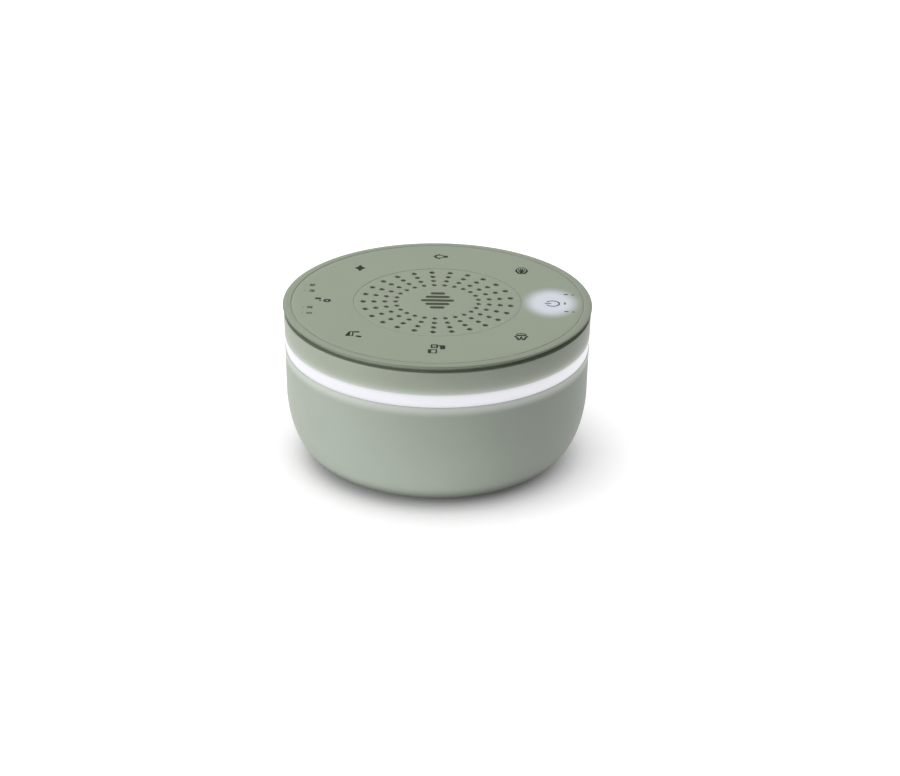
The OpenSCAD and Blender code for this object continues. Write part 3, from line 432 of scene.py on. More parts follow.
def frostedRing(name, v):
    # frosted polycarbonate diffuser lit from inside: an even cool white, a little dimmer at its edges
    material, tree, output, place = startMaterial(name)
    split = addNode(tree, "ShaderNodeSeparateXYZ", None, {0: place})
    fromMiddle = addNode(tree, "ShaderNodeMath", {"operation": "SUBTRACT"},
                         {0: split.outputs["Z"], 1: v["middle"] / 1000})
    away = addNode(tree, "ShaderNodeMath", {"operation": "ABSOLUTE"}, {0: fromMiddle.outputs[0]})
    face = addNode(tree, "ShaderNodeMapRange", smoothStep,
                   {"Value": away.outputs[0], 1: v["half"] * v["evenShare"] / 1000, 2: v["half"] / 1000,
                    3: v["strength"], 4: v["edgeStrength"]})
    frost = addNode(tree, "ShaderNodeTexNoise", None,
                    {"Vector": place, "Scale": 1000 / v["frostMm"], "Detail": 2.0})
    haze = addNode(tree, "ShaderNodeMapRange", None,
                   {"Value": frost.outputs[0], **noiseSpan, 3: 0.97, 4: 1.03})
    strength = addNode(tree, "ShaderNodeMath", {"operation": "MULTIPLY"},
                       {0: face.outputs[0], 1: haze.outputs[0]})
    bump = addNode(tree, "ShaderNodeBump", None,
                   {"Strength": 0.15, "Distance": v["frostDepthMm"] / 1000, "Height": frost.outputs[0]})
    shader = addNode(tree, "ShaderNodeBsdfPrincipled", None,
                     {"Base Color": linear(v["colour"]), "Roughness": 0.55, "IOR": 1.58,
                      "Normal": bump.outputs[0],
                      "Emission Color": linear(v["glow"]), "Emission Strength": strength.outputs[0]})
    tree.links.new(shader.outputs[0], output.inputs["Surface"])
    return material


ringPlastic = frostedRing("frostedPolycarbonate", ringLook)


def plainFinish(name, v):
    # small and inner pieces: one colour with its own slight unevenness, grain and gloss
    material, tree, output, place = startMaterial(name)
    grainDepthMm = 0.02
    uneven = addNode(tree, "ShaderNodeTexNoise", None,
                     {"Vector": place, "Scale": 1000 / v["patchMm"], "Detail": 4.0})
    span = addNode(tree, "ShaderNodeMapRange", None, {"Value": uneven.outputs[0], **noiseSpan})
    colour = addNode(tree, "ShaderNodeMix", colourMix,
                     {0: span.outputs[0], 6: linear(v["colour"]), 7: linear(v["second"])})
    rough = addNode(tree, "ShaderNodeMapRange", None,
                    {"Value": uneven.outputs[0], **noiseSpan,
                     3: v["rough"] * 0.85, 4: min(1.0, v["rough"] * 1.15)})
    grain = addNode(tree, "ShaderNodeTexNoise", None,
                    {"Vector": place, "Scale": 1000 / v["grainMm"], "Detail": 2.0})
    bump = addNode(tree, "ShaderNodeBump", None,
                   {"Strength": v.get("bump", 0.3), "Distance": grainDepthMm / 1000,
                    "Height": grain.outputs[0]})
    shader = addNode(tree, "ShaderNodeBsdfPrincipled", None,
                     {"Base Color": colour.outputs[2], "Roughness": rough.outputs[0],
                      "Metallic": v.get("metal", 0.0), "Normal": bump.outputs[0]})
    if "metal" not in v:
        shader.inputs["IOR"].default_value = 1.5
    tree.links.new(shader.outputs[0], output.inputs["Surface"])
    return material


def wovenCloth(name, v):
    # plain weave: two crossing sets of threads, with their shadows between them
    material, tree, output, place = startMaterial(name)
    threadDepthMm = 0.1
    warp, weft = (addNode(tree, "ShaderNodeTexWave", {"bands_direction": way},
                          {"Vector": place, "Scale": 2000 / v["threadMm"] / math.tau, "Distortion": 0.4})
                  for way in ("X", "Y"))
    cross = addNode(tree, "ShaderNodeMath", {"operation": "MULTIPLY"},
                    {0: warp.outputs[1], 1: weft.outputs[1]})
    colour = addNode(tree, "ShaderNodeMix", colourMix,
                     {0: cross.outputs[0], 6: linear(v["gap"]), 7: linear(v["thread"])})
    bump = addNode(tree, "ShaderNodeBump", None,
                   {"Strength": 0.5, "Distance": threadDepthMm / 1000, "Height": cross.outputs[0]})
    shader = addNode(tree, "ShaderNodeBsdfPrincipled", None,
                     {"Base Color": colour.outputs[2], "Roughness": 0.9, "Normal": bump.outputs[0]})
    tree.links.new(shader.outputs[0], output.inputs["Surface"])
    return material


finishes = {
    "coatedSteel": {"colour": "#2b2c2e", "second": "#333436", "patchMm": 6, "grainMm": 0.4, "rough": 0.45},
    "zincPlatedSteel": {"colour": "#a9abad", "second": "#b8b9ba", "patchMm": 3, "grainMm": 0.3, "rough": 0.32,
                        "metal": 1.0},
    "nickelPlate": {"colour": "#c4c3bd", "second": "#d0cfca", "patchMm": 4, "grainMm": 0.3, "rough": 0.22,
                    "metal": 1.0},
    "sinteredFerrite": {"colour": "#2a2a2c", "second": "#343436", "patchMm": 2, "grainMm": 0.15, "rough": 0.6,
                        "bump": 0.5},
    "pressedHardboard": {"colour": "#8a5f38", "second": "#9a6e44", "patchMm": 1.2, "grainMm": 0.2,
                         "rough": 0.75},
    "conePaper": {"colour": "#2b2a29", "second": "#363433", "patchMm": 1.5, "grainMm": 0.3, "rough": 0.88,
                  "bump": 0.6},
    "enamelledCopper": {"colour": "#b5652d", "second": "#c57538", "patchMm": 0.6, "grainMm": 0.2,
                        "rough": 0.25, "metal": 1.0},
    "nitrileRubber": {"colour": "#1d1d1d", "second": "#232323", "patchMm": 5, "grainMm": 0.25, "rough": 0.7},
    "closedCellFoam": {"colour": "#242424", "second": "#303030", "patchMm": 0.8, "grainMm": 0.3,
                       "rough": 0.95, "bump": 0.8},
    "greenSolderMask": {"colour": "#1f5a38", "second": "#276845", "patchMm": 3, "grainMm": 0.6, "rough": 0.3},
    "mouldedBlackNylon": {"colour": "#1e1e20", "second": "#262628", "patchMm": 3, "grainMm": 0.2,
                          "rough": 0.42},
    "phosphorLamp": {"colour": "#efe7b4", "second": "#f4efcc", "patchMm": 1, "grainMm": 0.2, "rough": 0.4},
    "shrunkSleeve": {"colour": "#2c3563", "second": "#343d6c", "patchMm": 3, "grainMm": 0.5, "rough": 0.3},
    "naturalNylon": {"colour": "#e4e0d4", "second": "#ece8de", "patchMm": 5, "grainMm": 0.3, "rough": 0.4},
    "polyimideStrip": {"colour": "#d8d2bd", "second": "#cdc6ae", "patchMm": 3, "grainMm": 0.4, "rough": 0.45},
    "innerAbs": {"colour": "#8c9387", "second": "#929a8d", "patchMm": 10, "grainMm": 0.3, "rough": 0.5},
    "cellSleeve": {"colour": "#39424c", "second": "#434d58", "patchMm": 9, "grainMm": 0.8, "rough": 0.28},
    "redPvc": {"colour": "#a8231c", "second": "#b52b22", "patchMm": 2, "grainMm": 0.3, "rough": 0.4},
    "blackPvc": {"colour": "#1b1b1c", "second": "#232325", "patchMm": 2, "grainMm": 0.3, "rough": 0.4},
    "yellowPvc": {"colour": "#c09a24", "second": "#cba62e", "patchMm": 2, "grainMm": 0.3, "rough": 0.4},
    "whitePvc": {"colour": "#dedbd0", "second": "#e8e5db", "patchMm": 2, "grainMm": 0.3, "rough": 0.4},
    "keyAbs": {"colour": "#d2d2cb", "second": "#d9d9d3", "patchMm": 4, "grainMm": 0.3, "rough": 0.45},
    "buttonAcetal": {"colour": "#b23a28", "second": "#bd4431", "patchMm": 2, "grainMm": 0.3, "rough": 0.35},
    "footRubber": {"colour": "#474a44", "second": "#4f524c", "patchMm": 2, "grainMm": 0.25, "rough": 0.8,
                   "bump": 0.5},
}
made = {name: plainFinish(name, v) for name, v in finishes.items()}
made["screenCloth"] = wovenCloth("screenCloth", {"threadMm": 0.5, "gap": "#1c1e1b", "thread": "#3a3d37"})
made["dippedCloth"] = wovenCloth("dippedCloth", {"threadMm": 0.7, "gap": "#8c763e", "thread": "#c8b078"})

nodeFinish = {
    "dust_screen": "screenCloth", "speaker_basket": "coatedSteel", "speaker_front_plate": "zincPlatedSteel",
    "speaker_back_plate": "zincPlatedSteel", "speaker_magnet": "sinteredFerrite",
    "speaker_terminals": "pressedHardboard", "speaker_cone": "conePaper", "dust_cap": "conePaper",
    "voice_coil": "enamelledCopper", "speaker_surround": "nitrileRubber", "speaker_spider": "dippedCloth",
    "speaker_gasket": "closedCellFoam", "speaker_screws": "zincPlatedSteel",
    "board_screws": "zincPlatedSteel", "tray_screws": "zincPlatedSteel", "housing_screws": "zincPlatedSteel",
    "control_board": "greenSolderMask", "switch_bodies": "mouldedBlackNylon", "key_lamps": "phosphorLamp",
    "ring_lamps": "phosphorLamp", "control_chip": "mouldedBlackNylon",
    "amplifier_chip": "mouldedBlackNylon", "capacitors": "shrunkSleeve", "wire_sockets": "naturalNylon",
    "lamp_trough": "naturalNylon", "lamp_strip": "polyimideStrip", "battery_tray": "innerAbs",
    "battery_cells": "cellSleeve", "battery_contacts": "nickelPlate", "battery_springs": "nickelPlate",
    "battery_plus_lead": "redPvc", "battery_minus_lead": "blackPvc", "speaker_leads": "yellowPvc",
    "lamp_leads": "whitePvc",
}
for keyName in ("power", "fan", "lamp", "star", "timer", "song", "surf", "rain"):
    nodeFinish[keyName + "_key"] = "keyAbs"
    nodeFinish[keyName + "_switch_button"] = "buttonAcetal"
for nodeName, finish in nodeFinish.items():
    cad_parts[nodeName].data.materials.clear()
    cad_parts[nodeName].data.materials.append(made[finish])
print("finishes made:", len(bpy.data.materials))


spider = {"inner": 6.35, "ledge": 16.2, "outer": 19.2, "base": 48.0, "cloth": 0.3, "swing": 0.22, "waves": 4,
          "steps": 24, "flat": 0.1}


def buildSpider():
    # corrugated cloth round the voice coil, lying flat on the basket's ledge
    def along(i):
        return spider["inner"] + (spider["ledge"] - spider["inner"]) * i / spider["steps"]

    def wave(i):
        turned = math.tau * spider["waves"] * i / spider["steps"]
        return spider["base"] + spider["swing"] * (1 - math.cos(turned))

    outline = [(along(i), wave(i) + spider["cloth"]) for i in range(spider["steps"] + 1)]
    outline += [(spider["outer"], spider["base"] + spider["cloth"]), (spider["outer"], spider["base"])]
    outline += [(along(i), wave(i)) for i in range(spider["steps"], -1, -1)]
    return lathe(outline, 96)


spiderPiece = makePiece("spider_cloth", buildSpider(), made["dippedCloth"], "housing",
                        ["speaker_spider"])
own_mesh(spiderPiece)
print("spider built")


bowl = {"wall": 2.4, "floorLow": 2.3, "floorTop": 4.7, "recess": 35.29, "rebate": 52.794, "rebateDepth": 1.5,
        "steps": 20, "rimEdge": 0.3, "footEdge": 0.25}


def bowlCurve(inset, floorZ):
    q = 2 / body["curvePower"]
    top = body["curveTop"]
    wide = sideRadius(top) - inset
    points = []
    for i in range(bowl["steps"] + 1):
        t = math.pi / 2 * i / bowl["steps"]
        points.append((body["baseRadius"] + (wide - body["baseRadius"]) * math.sin(t) ** q,
                       floorZ + (top - floorZ) * (1 - math.cos(t) ** q)))
    return points


def buildBowl():
    rim = body["rim"]
    rebate, drop = bowl["rebate"], bowl["rebateDepth"]
    inside = sideRadius(rim - drop) - bowl["wall"]
    outline = [(bowl["recess"], body["bottom"])] + bowlCurve(0, body["bottom"])
    outline += [(sideRadius(rim), rim), (rebate, rim), (rebate, rim - drop), (inside, rim - drop)]
    outline += list(reversed(bowlCurve(bowl["wall"], bowl["floorTop"])))
    outline += [(0, bowl["floorTop"]), (0, bowl["floorLow"]), (bowl["recess"], bowl["floorLow"])]
    bm = lathe(outline)
    # soften the outer edge of the rim and the edge that the housing sits on
    roundEdges(bm, bowl["rimEdge"], 3, 30,
               lambda e: middle(e).xy.length > rebate + 1 and abs(middle(e).z - rim) < 0.05)
    roundEdges(bm, bowl["footEdge"], 3, 30, lambda e: abs(middle(e).z - body["bottom"]) < 0.02)
    return bm


makePiece("bowl_shell", buildBowl(), shellPlastic, "housing", ["lower_bowl"])
print("bowl built")


ringSizes = {"out": 53.974, "inside": 51.674, "spigot": 52.594, "spigotHeight": 1.3, "edge": 0.25}
bandSizes = {"wall": 2.2, "seat": 0.2, "gap": 0.05, "edge": 0.25}


def buildRing():
    s = ringSizes
    low, high = body["rim"], body["ring"]
    bm = lathe([
        (s["inside"], low - s["spigotHeight"]), (s["spigot"], low - s["spigotHeight"]), (s["spigot"], low),
        (s["out"], low), (s["out"], high), (s["spigot"], high), (s["spigot"], high + s["spigotHeight"]),
        (s["inside"], high + s["spigotHeight"])])
    roundEdges(bm, s["edge"], 3, 60, lambda e: middle(e).xy.length > s["out"] - 0.1)
    return bm


def buildBand():
    s = bandSizes
    low, high = body["ring"], body["band"]
    inside = sideRadius(low) - s["wall"]
    seat = ringSizes["spigot"] + s["seat"]
    seatTop = low + ringSizes["spigotHeight"] + s["seat"]
    bm = lathe([(inside, seatTop), (seat, seatTop), (seat, low + s["gap"]), (sideRadius(low), low + s["gap"]),
                (body["sideRadius"], high), (inside, high)])
    roundEdges(bm, s["edge"], 3, 60, lambda e: middle(e).xy.length > sideRadius(low) - 0.1)
    return bm


makePiece("glow_ring", buildRing(), ringPlastic, "housing", ["light_ring"])
makePiece("band_shell", buildBand(), bandPlastic, "housing", ["upper_band"])
print("ring and band built")


topSizes = {"lipStart": 52.35, "root": 52.9, "gap": 0.05, "deckLow": 54.7, "throat": 26.6, "rebate": 28.5,
            "rebateDepth": 1, "skirt": 51.474, "skirtWall": 1.6, "skirtLow": 48.25, "lipSteps": 14,
            "turnSteps": 5, "panelStep": 0.12}
grilleSizes = {"rings": 4, "perRing": 25, "firstRing": 14.8, "pitch": 3.84, "firstHole": 1.88, "growth": 0.1,
               "turn": 1.5, "holeSides": 24, "holeEdge": 0.05, "drillMiddle": 0.8, "drillLength": 4,
               "faceOver": 1}
seamSizes = {"grille": {"soft": 0.55, "drop": 0.05, "depth": 0.1}, "inner": {"soft": 0.4, "drop": 0.02},
             "rim": {"soft": 0.4, "drop": 0.1, "depth": 0.2}, "foot": 0.2, "rings": 10,
             "shoulderAlong": 0.35, "shoulderDown": 0.4}


def buildRim():
    s = topSizes
    lipTop = body["top"] - body["crownDrop"]
    noseZ = body["nose"]
    rebateLow = body["deck"] - s["rebateDepth"]
    outline = [(s["throat"], s["deckLow"]), (s["throat"], rebateLow), (s["rebate"], rebateLow),
               (s["rebate"], body["deck"]), (body["groove"], body["deck"]),
               (body["groove"], lipTop - s["panelStep"])]
    for i in range(s["lipSteps"] + 1):
        t = math.pi / 2 * i / s["lipSteps"]
        outline.append((s["lipStart"] + (body["radius"] - s["lipStart"]) * math.sin(t),
                        noseZ + (lipTop - noseZ) * math.cos(t)))
    turned = noseZ - body["lip"]
    for i in range(1, s["turnSteps"] + 1):
        t = math.pi / 2 * i / s["turnSteps"]
        outline.append((body["radius"] - turned * (1 - math.cos(t)), noseZ - turned * math.sin(t)))
    low = body["band"] + s["gap"]
    outline += [(s["root"], body["lip"]), (s["root"], low), (s["skirt"], low), (s["skirt"], s["skirtLow"]),
                (s["skirt"] - s["skirtWall"], s["skirtLow"]), (s["skirt"] - s["skirtWall"], s["deckLow"])]
    return lathe(outline)


def crownDisc(inner, outer, inSeam, outSeam):
    # a domed plate, its faces fine enough to follow the crown; its edges are softened, and below the seam's
    # depth it stands out by foot, so the seam beside it is a shallow line and no deep slot
    foot, rings = seamSizes["foot"], seamSizes["rings"]
    along, down = seamSizes["shoulderAlong"], seamSizes["shoulderDown"]

    def top(r):
        return crown(r) - body["inkDepth"]

    outline = [(inner, body["deck"])]
    start = 0
    if inner > 0:
        outline += [(inner, top(inner) - inSeam["drop"]),
                    (inner + inSeam["soft"] * along, top(inner) - inSeam["drop"] * down)]
        start = inner + inSeam["soft"]
    for i in range(rings + 1):
        r = start + (outer - outSeam["soft"] - start) * i / rings
        outline.append((r, top(r)))
    outline += [(outer - outSeam["soft"] * along, top(outer) - outSeam["drop"] * down),
                (outer, top(outer) - outSeam["drop"]), (outer, top(outer) - outSeam["depth"]),
                (outer + foot, top(outer) - outSeam["depth"]), (outer + foot, body["deck"])]
    return lathe(outline)


def buildGrille():
    s = grilleSizes
    plate = crownDisc(0, body["grille"], None, seamSizes["grille"])
    holder = bpy.data.objects.new("grilleBlank", bpy.data.meshes.new("grilleBlank"))
    plate.to_mesh(holder.data)
    plate.free()
    drill = bmesh.new()
    for ring in range(s["rings"]):
        radius = s["firstRing"] + ring * s["pitch"]
        hole = (s["firstHole"] + ring * s["growth"]) / 2
        for i in range(s["perRing"]):
            angle = math.radians(180 + s["turn"] + 360 * i / s["perRing"])
            where = Matrix.Translation((radius * math.cos(angle), radius * math.sin(angle),
                                        body["deck"] + s["drillMiddle"]))
            bmesh.ops.create_cone(drill, cap_ends=True, segments=s["holeSides"], radius1=hole, radius2=hole,
                                  depth=s["drillLength"], matrix=where)
    cutter = bpy.data.objects.new("grilleDrill", bpy.data.meshes.new("grilleDrill"))
    drill.to_mesh(cutter.data)
    drill.free()
    for tool in (holder, cutter):
        bpy.context.scene.collection.objects.link(tool)
    cut = holder.modifiers.new("holes", "BOOLEAN")
    cut.operation = "DIFFERENCE"
    cut.solver = "EXACT"
    cut.object = cutter
    bpy.context.view_layer.update()
    drilled = bmesh.new()
    drilled.from_mesh(holder.evaluated_get(bpy.context.evaluated_depsgraph_get()).to_mesh())
    bpy.data.objects.remove(holder)
    bpy.data.objects.remove(cutter)
    # each hole gets the small radius that a moulded edge has
    holesEnd, face = body["grille"] - body["grilleMargin"], body["deck"] + s["faceOver"]
    roundEdges(drilled, s["holeEdge"], 2, 60, lambda e: middle(e).xy.length < holesEnd and middle(e).z > face)
    return drilled


def buildPanel():
    return crownDisc(body["grille"] + body["grooveWidth"], body["groove"] - body["grooveWidth"],
                     seamSizes["inner"], seamSizes["rim"])


makePiece("top_rim", buildRim(), rimPlastic, "housing", ["top_cover"])
makePiece("touch_panel", buildPanel(), panelPlastic, "housing", ["control_panel"])
makePiece("grille_plate", buildGrille(), panelPlastic, "housing", ["speaker_grille"])
print("top built")


footSizes = {"radius": 4.0, "edge": 0.4, "top": 1.2, "ring": 27.0}


def buildFeet():
    s = footSizes
    feet = bmesh.new()
    for angle in (45, 135, 225, 315):
        one = lathe([(0, 0), (s["radius"], 0), (s["radius"], s["top"]), (0, s["top"])], 48)
        roundEdges(one, s["edge"], 4, 60, lambda e: middle(e).z < 0.1)
        where = Matrix.Rotation(math.radians(angle), 4, "Z") @ Matrix.Translation((s["ring"], 0, 0))
        bmesh.ops.transform(one, matrix=where, verts=one.verts)
        step = bpy.data.meshes.new("footStep")
        one.to_mesh(step)
        one.free()
        feet.from_mesh(step)
        bpy.data.meshes.remove(step)
    return feet


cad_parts["battery_door"].data.materials.clear()
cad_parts["battery_door"].data.materials.append(shellPlastic)
makePiece("door_feet", buildFeet(), made["footRubber"], "door", ["rubber_feet"])
print("underside built")


def inkMaterial(name, v):
    # pad-printed ink: thin, a touch duller than the panel, with slightly uneven cover
    material, tree, output, place = startMaterial(name)
    coverMm = 0.6
    cover = addNode(tree, "ShaderNodeTexNoise", None,
                    {"Vector": place, "Scale": 1000 / coverMm, "Detail": 3.0})
    colour = addNode(tree, "ShaderNodeMix", colourMix,
                     {0: cover.outputs[0], 6: linear(v["colour"]), 7: linear(v["thin"])})
    shader = addNode(tree, "ShaderNodeBsdfPrincipled", None,
                     {"Base Color": colour.outputs[2], "Roughness": v["rough"], "IOR": 1.48,
                      "Specular IOR Level": v["gloss"], "Emission Color": linear(v.get("glow", "#000000")),
                      "Emission Strength": v.get("strength", 0.0)})
    tree.links.new(shader.outputs[0], output.inputs["Surface"])
    return material


darkInk = inkMaterial("padPrintOlive", {"colour": "#161c11", "thin": "#20271a", "rough": 0.6, "gloss": 0.15})
markInk = inkMaterial("padPrintSage", {"colour": "#3c4534", "thin": "#454e3d", "rough": 0.6, "gloss": 0.15})
litInk = inkMaterial("litPrintViolet", {"colour": "#1c1b42", "thin": "#26254c", "rough": 0.6, "gloss": 0.15,
                                        "glow": "#4b4b90", "strength": 0.05})
greyInk = inkMaterial("dotPrintGrey", {"colour": "#787e75", "thin": "#7f857b", "rough": 0.6, "gloss": 0.15})
paleInk = inkMaterial("dotPrintPale", {"colour": "#888f80", "thin": "#8f9687", "rough": 0.6, "gloss": 0.3})


def arc(bm, x, y, radius, width, start=0, end=360):
    # a stroke along a circle, angles from the symbol's right, counted to its top
    whole = end - start >= 360
    a, b = (bm.verts.new((x + math.cos(math.radians(start)) * r, y + math.sin(math.radians(start)) * r, 0))
            for r in (radius - width / 2, radius + width / 2))
    side = bm.edges.new((a, b))
    steps = max(4, int((end - start) / 9))
    bmesh.ops.spin(bm, geom=[a, b, side], cent=(x, y, 0), axis=(0, 0, 1), dvec=(0, 0, 0),
                   angle=math.radians(end - start), steps=steps, use_merge=whole, use_normal_flip=False,
                   use_duplicate=False)


def stroke(bm, x1, y1, x2, y2, width):
    a, b = Vector((x1, y1, 0)), Vector((x2, y2, 0))
    side = (b - a).normalized().cross(Vector((0, 0, 1))) * width / 2
    p, q = bm.verts.new(a - side), bm.verts.new(a + side)
    start = bm.edges.new((p, q))
    moved = bmesh.ops.extrude_edge_only(bm, edges=[start])["geom"]
    bmesh.ops.translate(bm, vec=b - a, verts=[g for g in moved if isinstance(g, bmesh.types.BMVert)])


def dot(bm, x, y, radius):
    where = Matrix.Translation((x, y, 0))
    bmesh.ops.create_circle(bm, cap_ends=True, segments=20, radius=radius, matrix=where)


def patch(bm, points):
    bmesh.ops.contextual_create(bm, geom=[bm.verts.new((x, y, 0)) for x, y in points])


digitShape = {"tallShare": 0.7, "bold": 0.03, "narrow": 0.74}


def words(bm, text, x, y, height):
    # plain numbers, centred on the point given
    curve = bpy.data.curves.new("digits", "FONT")
    curve.body = text
    curve.align_x = "CENTER"
    curve.align_y = "CENTER"
    curve.size = height / digitShape["tallShare"]
    curve.resolution_u = 3
    curve.offset = height * digitShape["bold"]
    holder = bpy.data.objects.new("digits", curve)
    bpy.context.scene.collection.objects.link(holder)
    bpy.context.view_layer.update()
    flat = bpy.data.meshes.new_from_object(holder)
    flat.transform(Matrix.Translation((x, y, 0)) @ Matrix.Diagonal((digitShape["narrow"], 1, 1, 1)))
    bm.from_mesh(flat)
    bpy.data.objects.remove(holder)
    bpy.data.meshes.remove(flat)


def bow(bm, points, width):
    # a bent stroke through the points given, with round joints
    for (x1, y1), (x2, y2) in zip(points, points[1:]):
        stroke(bm, x1, y1, x2, y2, width)
    for x, y in points:
        dot(bm, x, y, width / 2)


def powerSign(bm):
    arc(bm, 0, 0, 2.35, 0.5, -242, 62)
    stroke(bm, 0, 0.5, 0, 2.85, 0.5)


def shellSign(bm):
    # ribbed scallop shell
    bow(bm, [(-2.1, 0.4), (-1.6, 1.9), (-0.8, 2.9), (0.8, 2.9), (1.6, 1.9), (2.1, 0.4)], 0.35)
    for side in (-1, 1):
        bow(bm, [(side * 2.0, 0.3), (side * 1.75, -0.9), (side * 1.05, -2.3)], 0.8)
        stroke(bm, side * 0.35, -1.9, side * 1.2, 1.5, 0.42)
        stroke(bm, side * 0.2, -2.2, side * 0.5, 2.4, 0.3)
    stroke(bm, 0, -2.0, 0, 1.4, 0.5)
    stroke(bm, -1.0, -2.6, 1.0, -2.6, 0.55)


def lotusSign(bm):
    # dome over an open fan of leaves
    bow(bm, [(-1.8, 1.5), (-1.1, 2.6), (0, 3.0), (1.1, 2.6), (1.8, 1.5)], 0.45)
    bow(bm, [(-1.25, 1.0), (0, 1.4), (1.25, 1.0)], 0.9)
    for side in (-1, 1):
        bow(bm, [(side * 2.1, 0.4), (side * 1.5, -0.8), (side * 0.95, -2.4)], 0.75)
        stroke(bm, side * 0.95, -2.5, side * 0.45, -2.5, 0.55)
        stroke(bm, side * 0.45, -2.3, 0, 0.2, 0.5)


def lampSign(bm):
    arc(bm, 0, 0.1, 1.5, 0.8, -10, 190)
    for side in (-1, 1):
        stroke(bm, side * 1.45, -0.1, side * 0.7, -1.5, 0.45)
        stroke(bm, side * 1.9, 0.1, side * 2.4, 0.1, 0.4)
    patch(bm, [(-0.95, -1.35), (0.95, -1.35), (0.85, -3.0), (-0.85, -3.0)])
    stroke(bm, 0, 2.2, 0, 2.5, 0.35)


def starSign(bm):
    points = []
    for i in range(8):
        r = (2.05, 1.35, 2.85, 1.35)[i % 4]
        points.append((0.3 + r * math.sin(math.pi * i / 4), r * math.cos(math.pi * i / 4) - 0.2))
    patch(bm, points)


def timerSign(bm):
    arc(bm, -0.3, -1.7, 0.95, 0.9)
    stroke(bm, -0.8, 0.8, 0.3, 0.8, 0.55)
    stroke(bm, 1.4, 0.5, 1.6, 2.6, 1.4)


def songSign(bm):
    bow(bm, [(-1.45, 2.5), (1.9, 1.2), (1.9, 0.05), (-1.45, 0.05), (-1.45, 2.5)], 0.5)
    patch(bm, [(-1.64, 2.6), (1.9, 1.3), (1.9, 0.9), (-1.64, 1.1)])
    stroke(bm, 1.75, -0.25, 1.75, -2.2, 1.0)
    bow(bm, [(-2.2, -2.5), (-1.9, -1.6)], 1.2)


def blockSign(bm):
    # three outlined blocks, stacked
    blocks = ((-1.8, 0.95, 1.35, 1.35, 0.5), (2.35, 0.37, 1.2, 0.95, 0.6), (1.6, -2.5, 1.2, 0.5, 0.8))
    for x, y, half, tall, line in blocks:
        left, right, low, high = x - half, x + half, y - tall, y + tall
        bow(bm, [(left, low), (right, low), (right, high), (left, high), (left, low)], line)
    stroke(bm, -2.9, 1.85, -0.7, 1.85, 0.9)
    stroke(bm, 2.9, -0.95, 2.9, -1.7, 0.7)
    dot(bm, 1.6, -2.5, 0.55)
    dot(bm, 2.35, 0.3, 0.35)


def putSign(name, draw, material, angle=0, radius=0, spin=0):
    # symbols stand with their tops towards -X unless they are spun, print side up, laid on the crown
    bm = bmesh.new()
    draw(bm)
    bmesh.ops.recalc_face_normals(bm, faces=bm.faces)
    where = Vector((radius * math.cos(math.radians(angle)), radius * math.sin(math.radians(angle)), 0))
    turned = Matrix.Rotation(math.pi / 2 + math.radians(spin), 4, "Z")
    bmesh.ops.transform(bm, matrix=Matrix.Translation(where) @ turned, verts=bm.verts)
    for face in bm.faces:
        if face.normal.z < 0:
            face.normal_flip()
    for vert in bm.verts:
        vert.co.z = crown(vert.co.xy.length)
    bottom = bmesh.ops.extrude_face_region(bm, geom=list(bm.faces), use_keep_orig=True)["geom"]
    bmesh.ops.translate(bm, vec=(0, 0, -body["inkThick"]),
                        verts=[g for g in bottom if isinstance(g, bmesh.types.BMVert)])
    bmesh.ops.recalc_face_normals(bm, faces=bm.faces)
    makePiece(name, bm, material, "housing")


signs = [("sign_power", powerSign, litInk, 0, 40.95, 0), ("sign_shell", shellSign, darkInk, 44.2, 41.8, -90),
         ("sign_lamp", lampSign, darkInk, 90, 41.3, 0), ("sign_star", starSign, darkInk, 134.6, 41.1, 0),
         ("sign_timer", timerSign, darkInk, 180, 41.0, 0), ("sign_song", songSign, darkInk, 225, 40.9, 0),
         ("sign_blocks", blockSign, darkInk, 270, 40.7, 0),
         ("sign_lotus", lotusSign, darkInk, 315.4, 41.7, -90)]
for sign in signs:
    putSign(*sign)

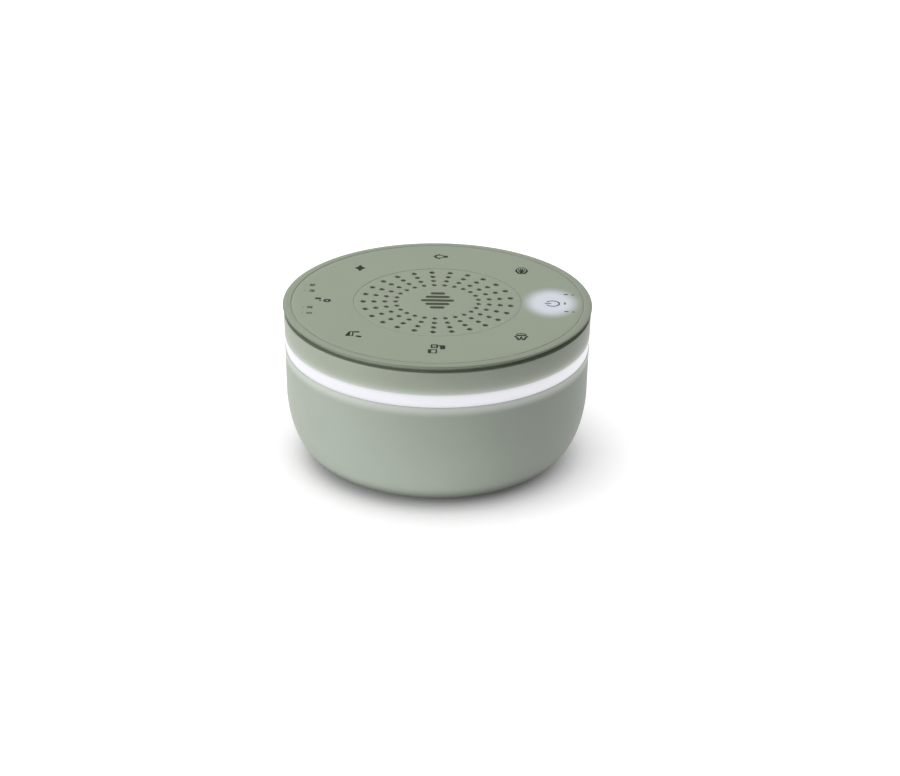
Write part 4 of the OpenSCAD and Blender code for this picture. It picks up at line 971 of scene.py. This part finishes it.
timerPrint = {"rows": {"15": -11.45, "30": -6.45, "60": 8.35, "90": 13.5}, "numbersAt": 45.0, "tall": 1.9,
              "dotsAt": 47.6, "dotRadius": 0.4}
powerPrint = {"dots": (-7.0, 8.0), "dotsAt": -48.2, "dotRadius": 0.55, "dashes": (-6.8, 8.3),
              "dashFrom": -45.3, "dashTo": -46.2, "dashWidth": 0.65, "bar": (-0.6, 1.2), "barWidth": 0.75}
soundBars = {"first": -5.2, "pitch": 3.1, "halves": (1.7, 3.4, 5.0, 3.4, 1.7), "width": 1.9, "capSteps": 12}


def timeMarks(bm):
    # minutes of the timer, beside the dots over their little lamps
    for text, row in timerPrint["rows"].items():
        words(bm, text, row, timerPrint["numbersAt"], timerPrint["tall"])


def timeDots(bm):
    for row in timerPrint["rows"].values():
        dot(bm, row, timerPrint["dotsAt"], timerPrint["dotRadius"])


def powerDots(bm):
    v = powerPrint
    for row in v["dots"]:
        dot(bm, row, v["dotsAt"], v["dotRadius"])
    stroke(bm, v["bar"][0], v["dashFrom"], v["bar"][1], v["dashFrom"], v["barWidth"])


def powerDashes(bm):
    v = powerPrint
    for row in v["dashes"]:
        bow(bm, [(row, v["dashFrom"]), (row, v["dashTo"])], v["dashWidth"])


def roundBar(bm, x, half, width):
    # one closed outline, so that nothing overlaps inside it
    outline = []
    for start, y in ((0, half), (math.pi, -half)):
        for step in range(soundBars["capSteps"] + 1):
            angle = start + math.pi * step / soundBars["capSteps"]
            outline.append((x + width / 2 * math.cos(angle), y + width / 2 * math.sin(angle)))
    patch(bm, outline)


def soundMark(bm):
    # five level bars with round ends in the bare middle of the grille
    for i, half in enumerate(soundBars["halves"]):
        roundBar(bm, soundBars["first"] + i * soundBars["pitch"], half, soundBars["width"])


putSign("print_minutes", timeMarks, darkInk)
putSign("print_minute_dots", timeDots, paleInk)
putSign("print_power_dots", powerDots, greyInk)
putSign("print_power_dashes", powerDashes, darkInk)
putSign("print_sound_mark", soundMark, markInk)
print("symbols printed")
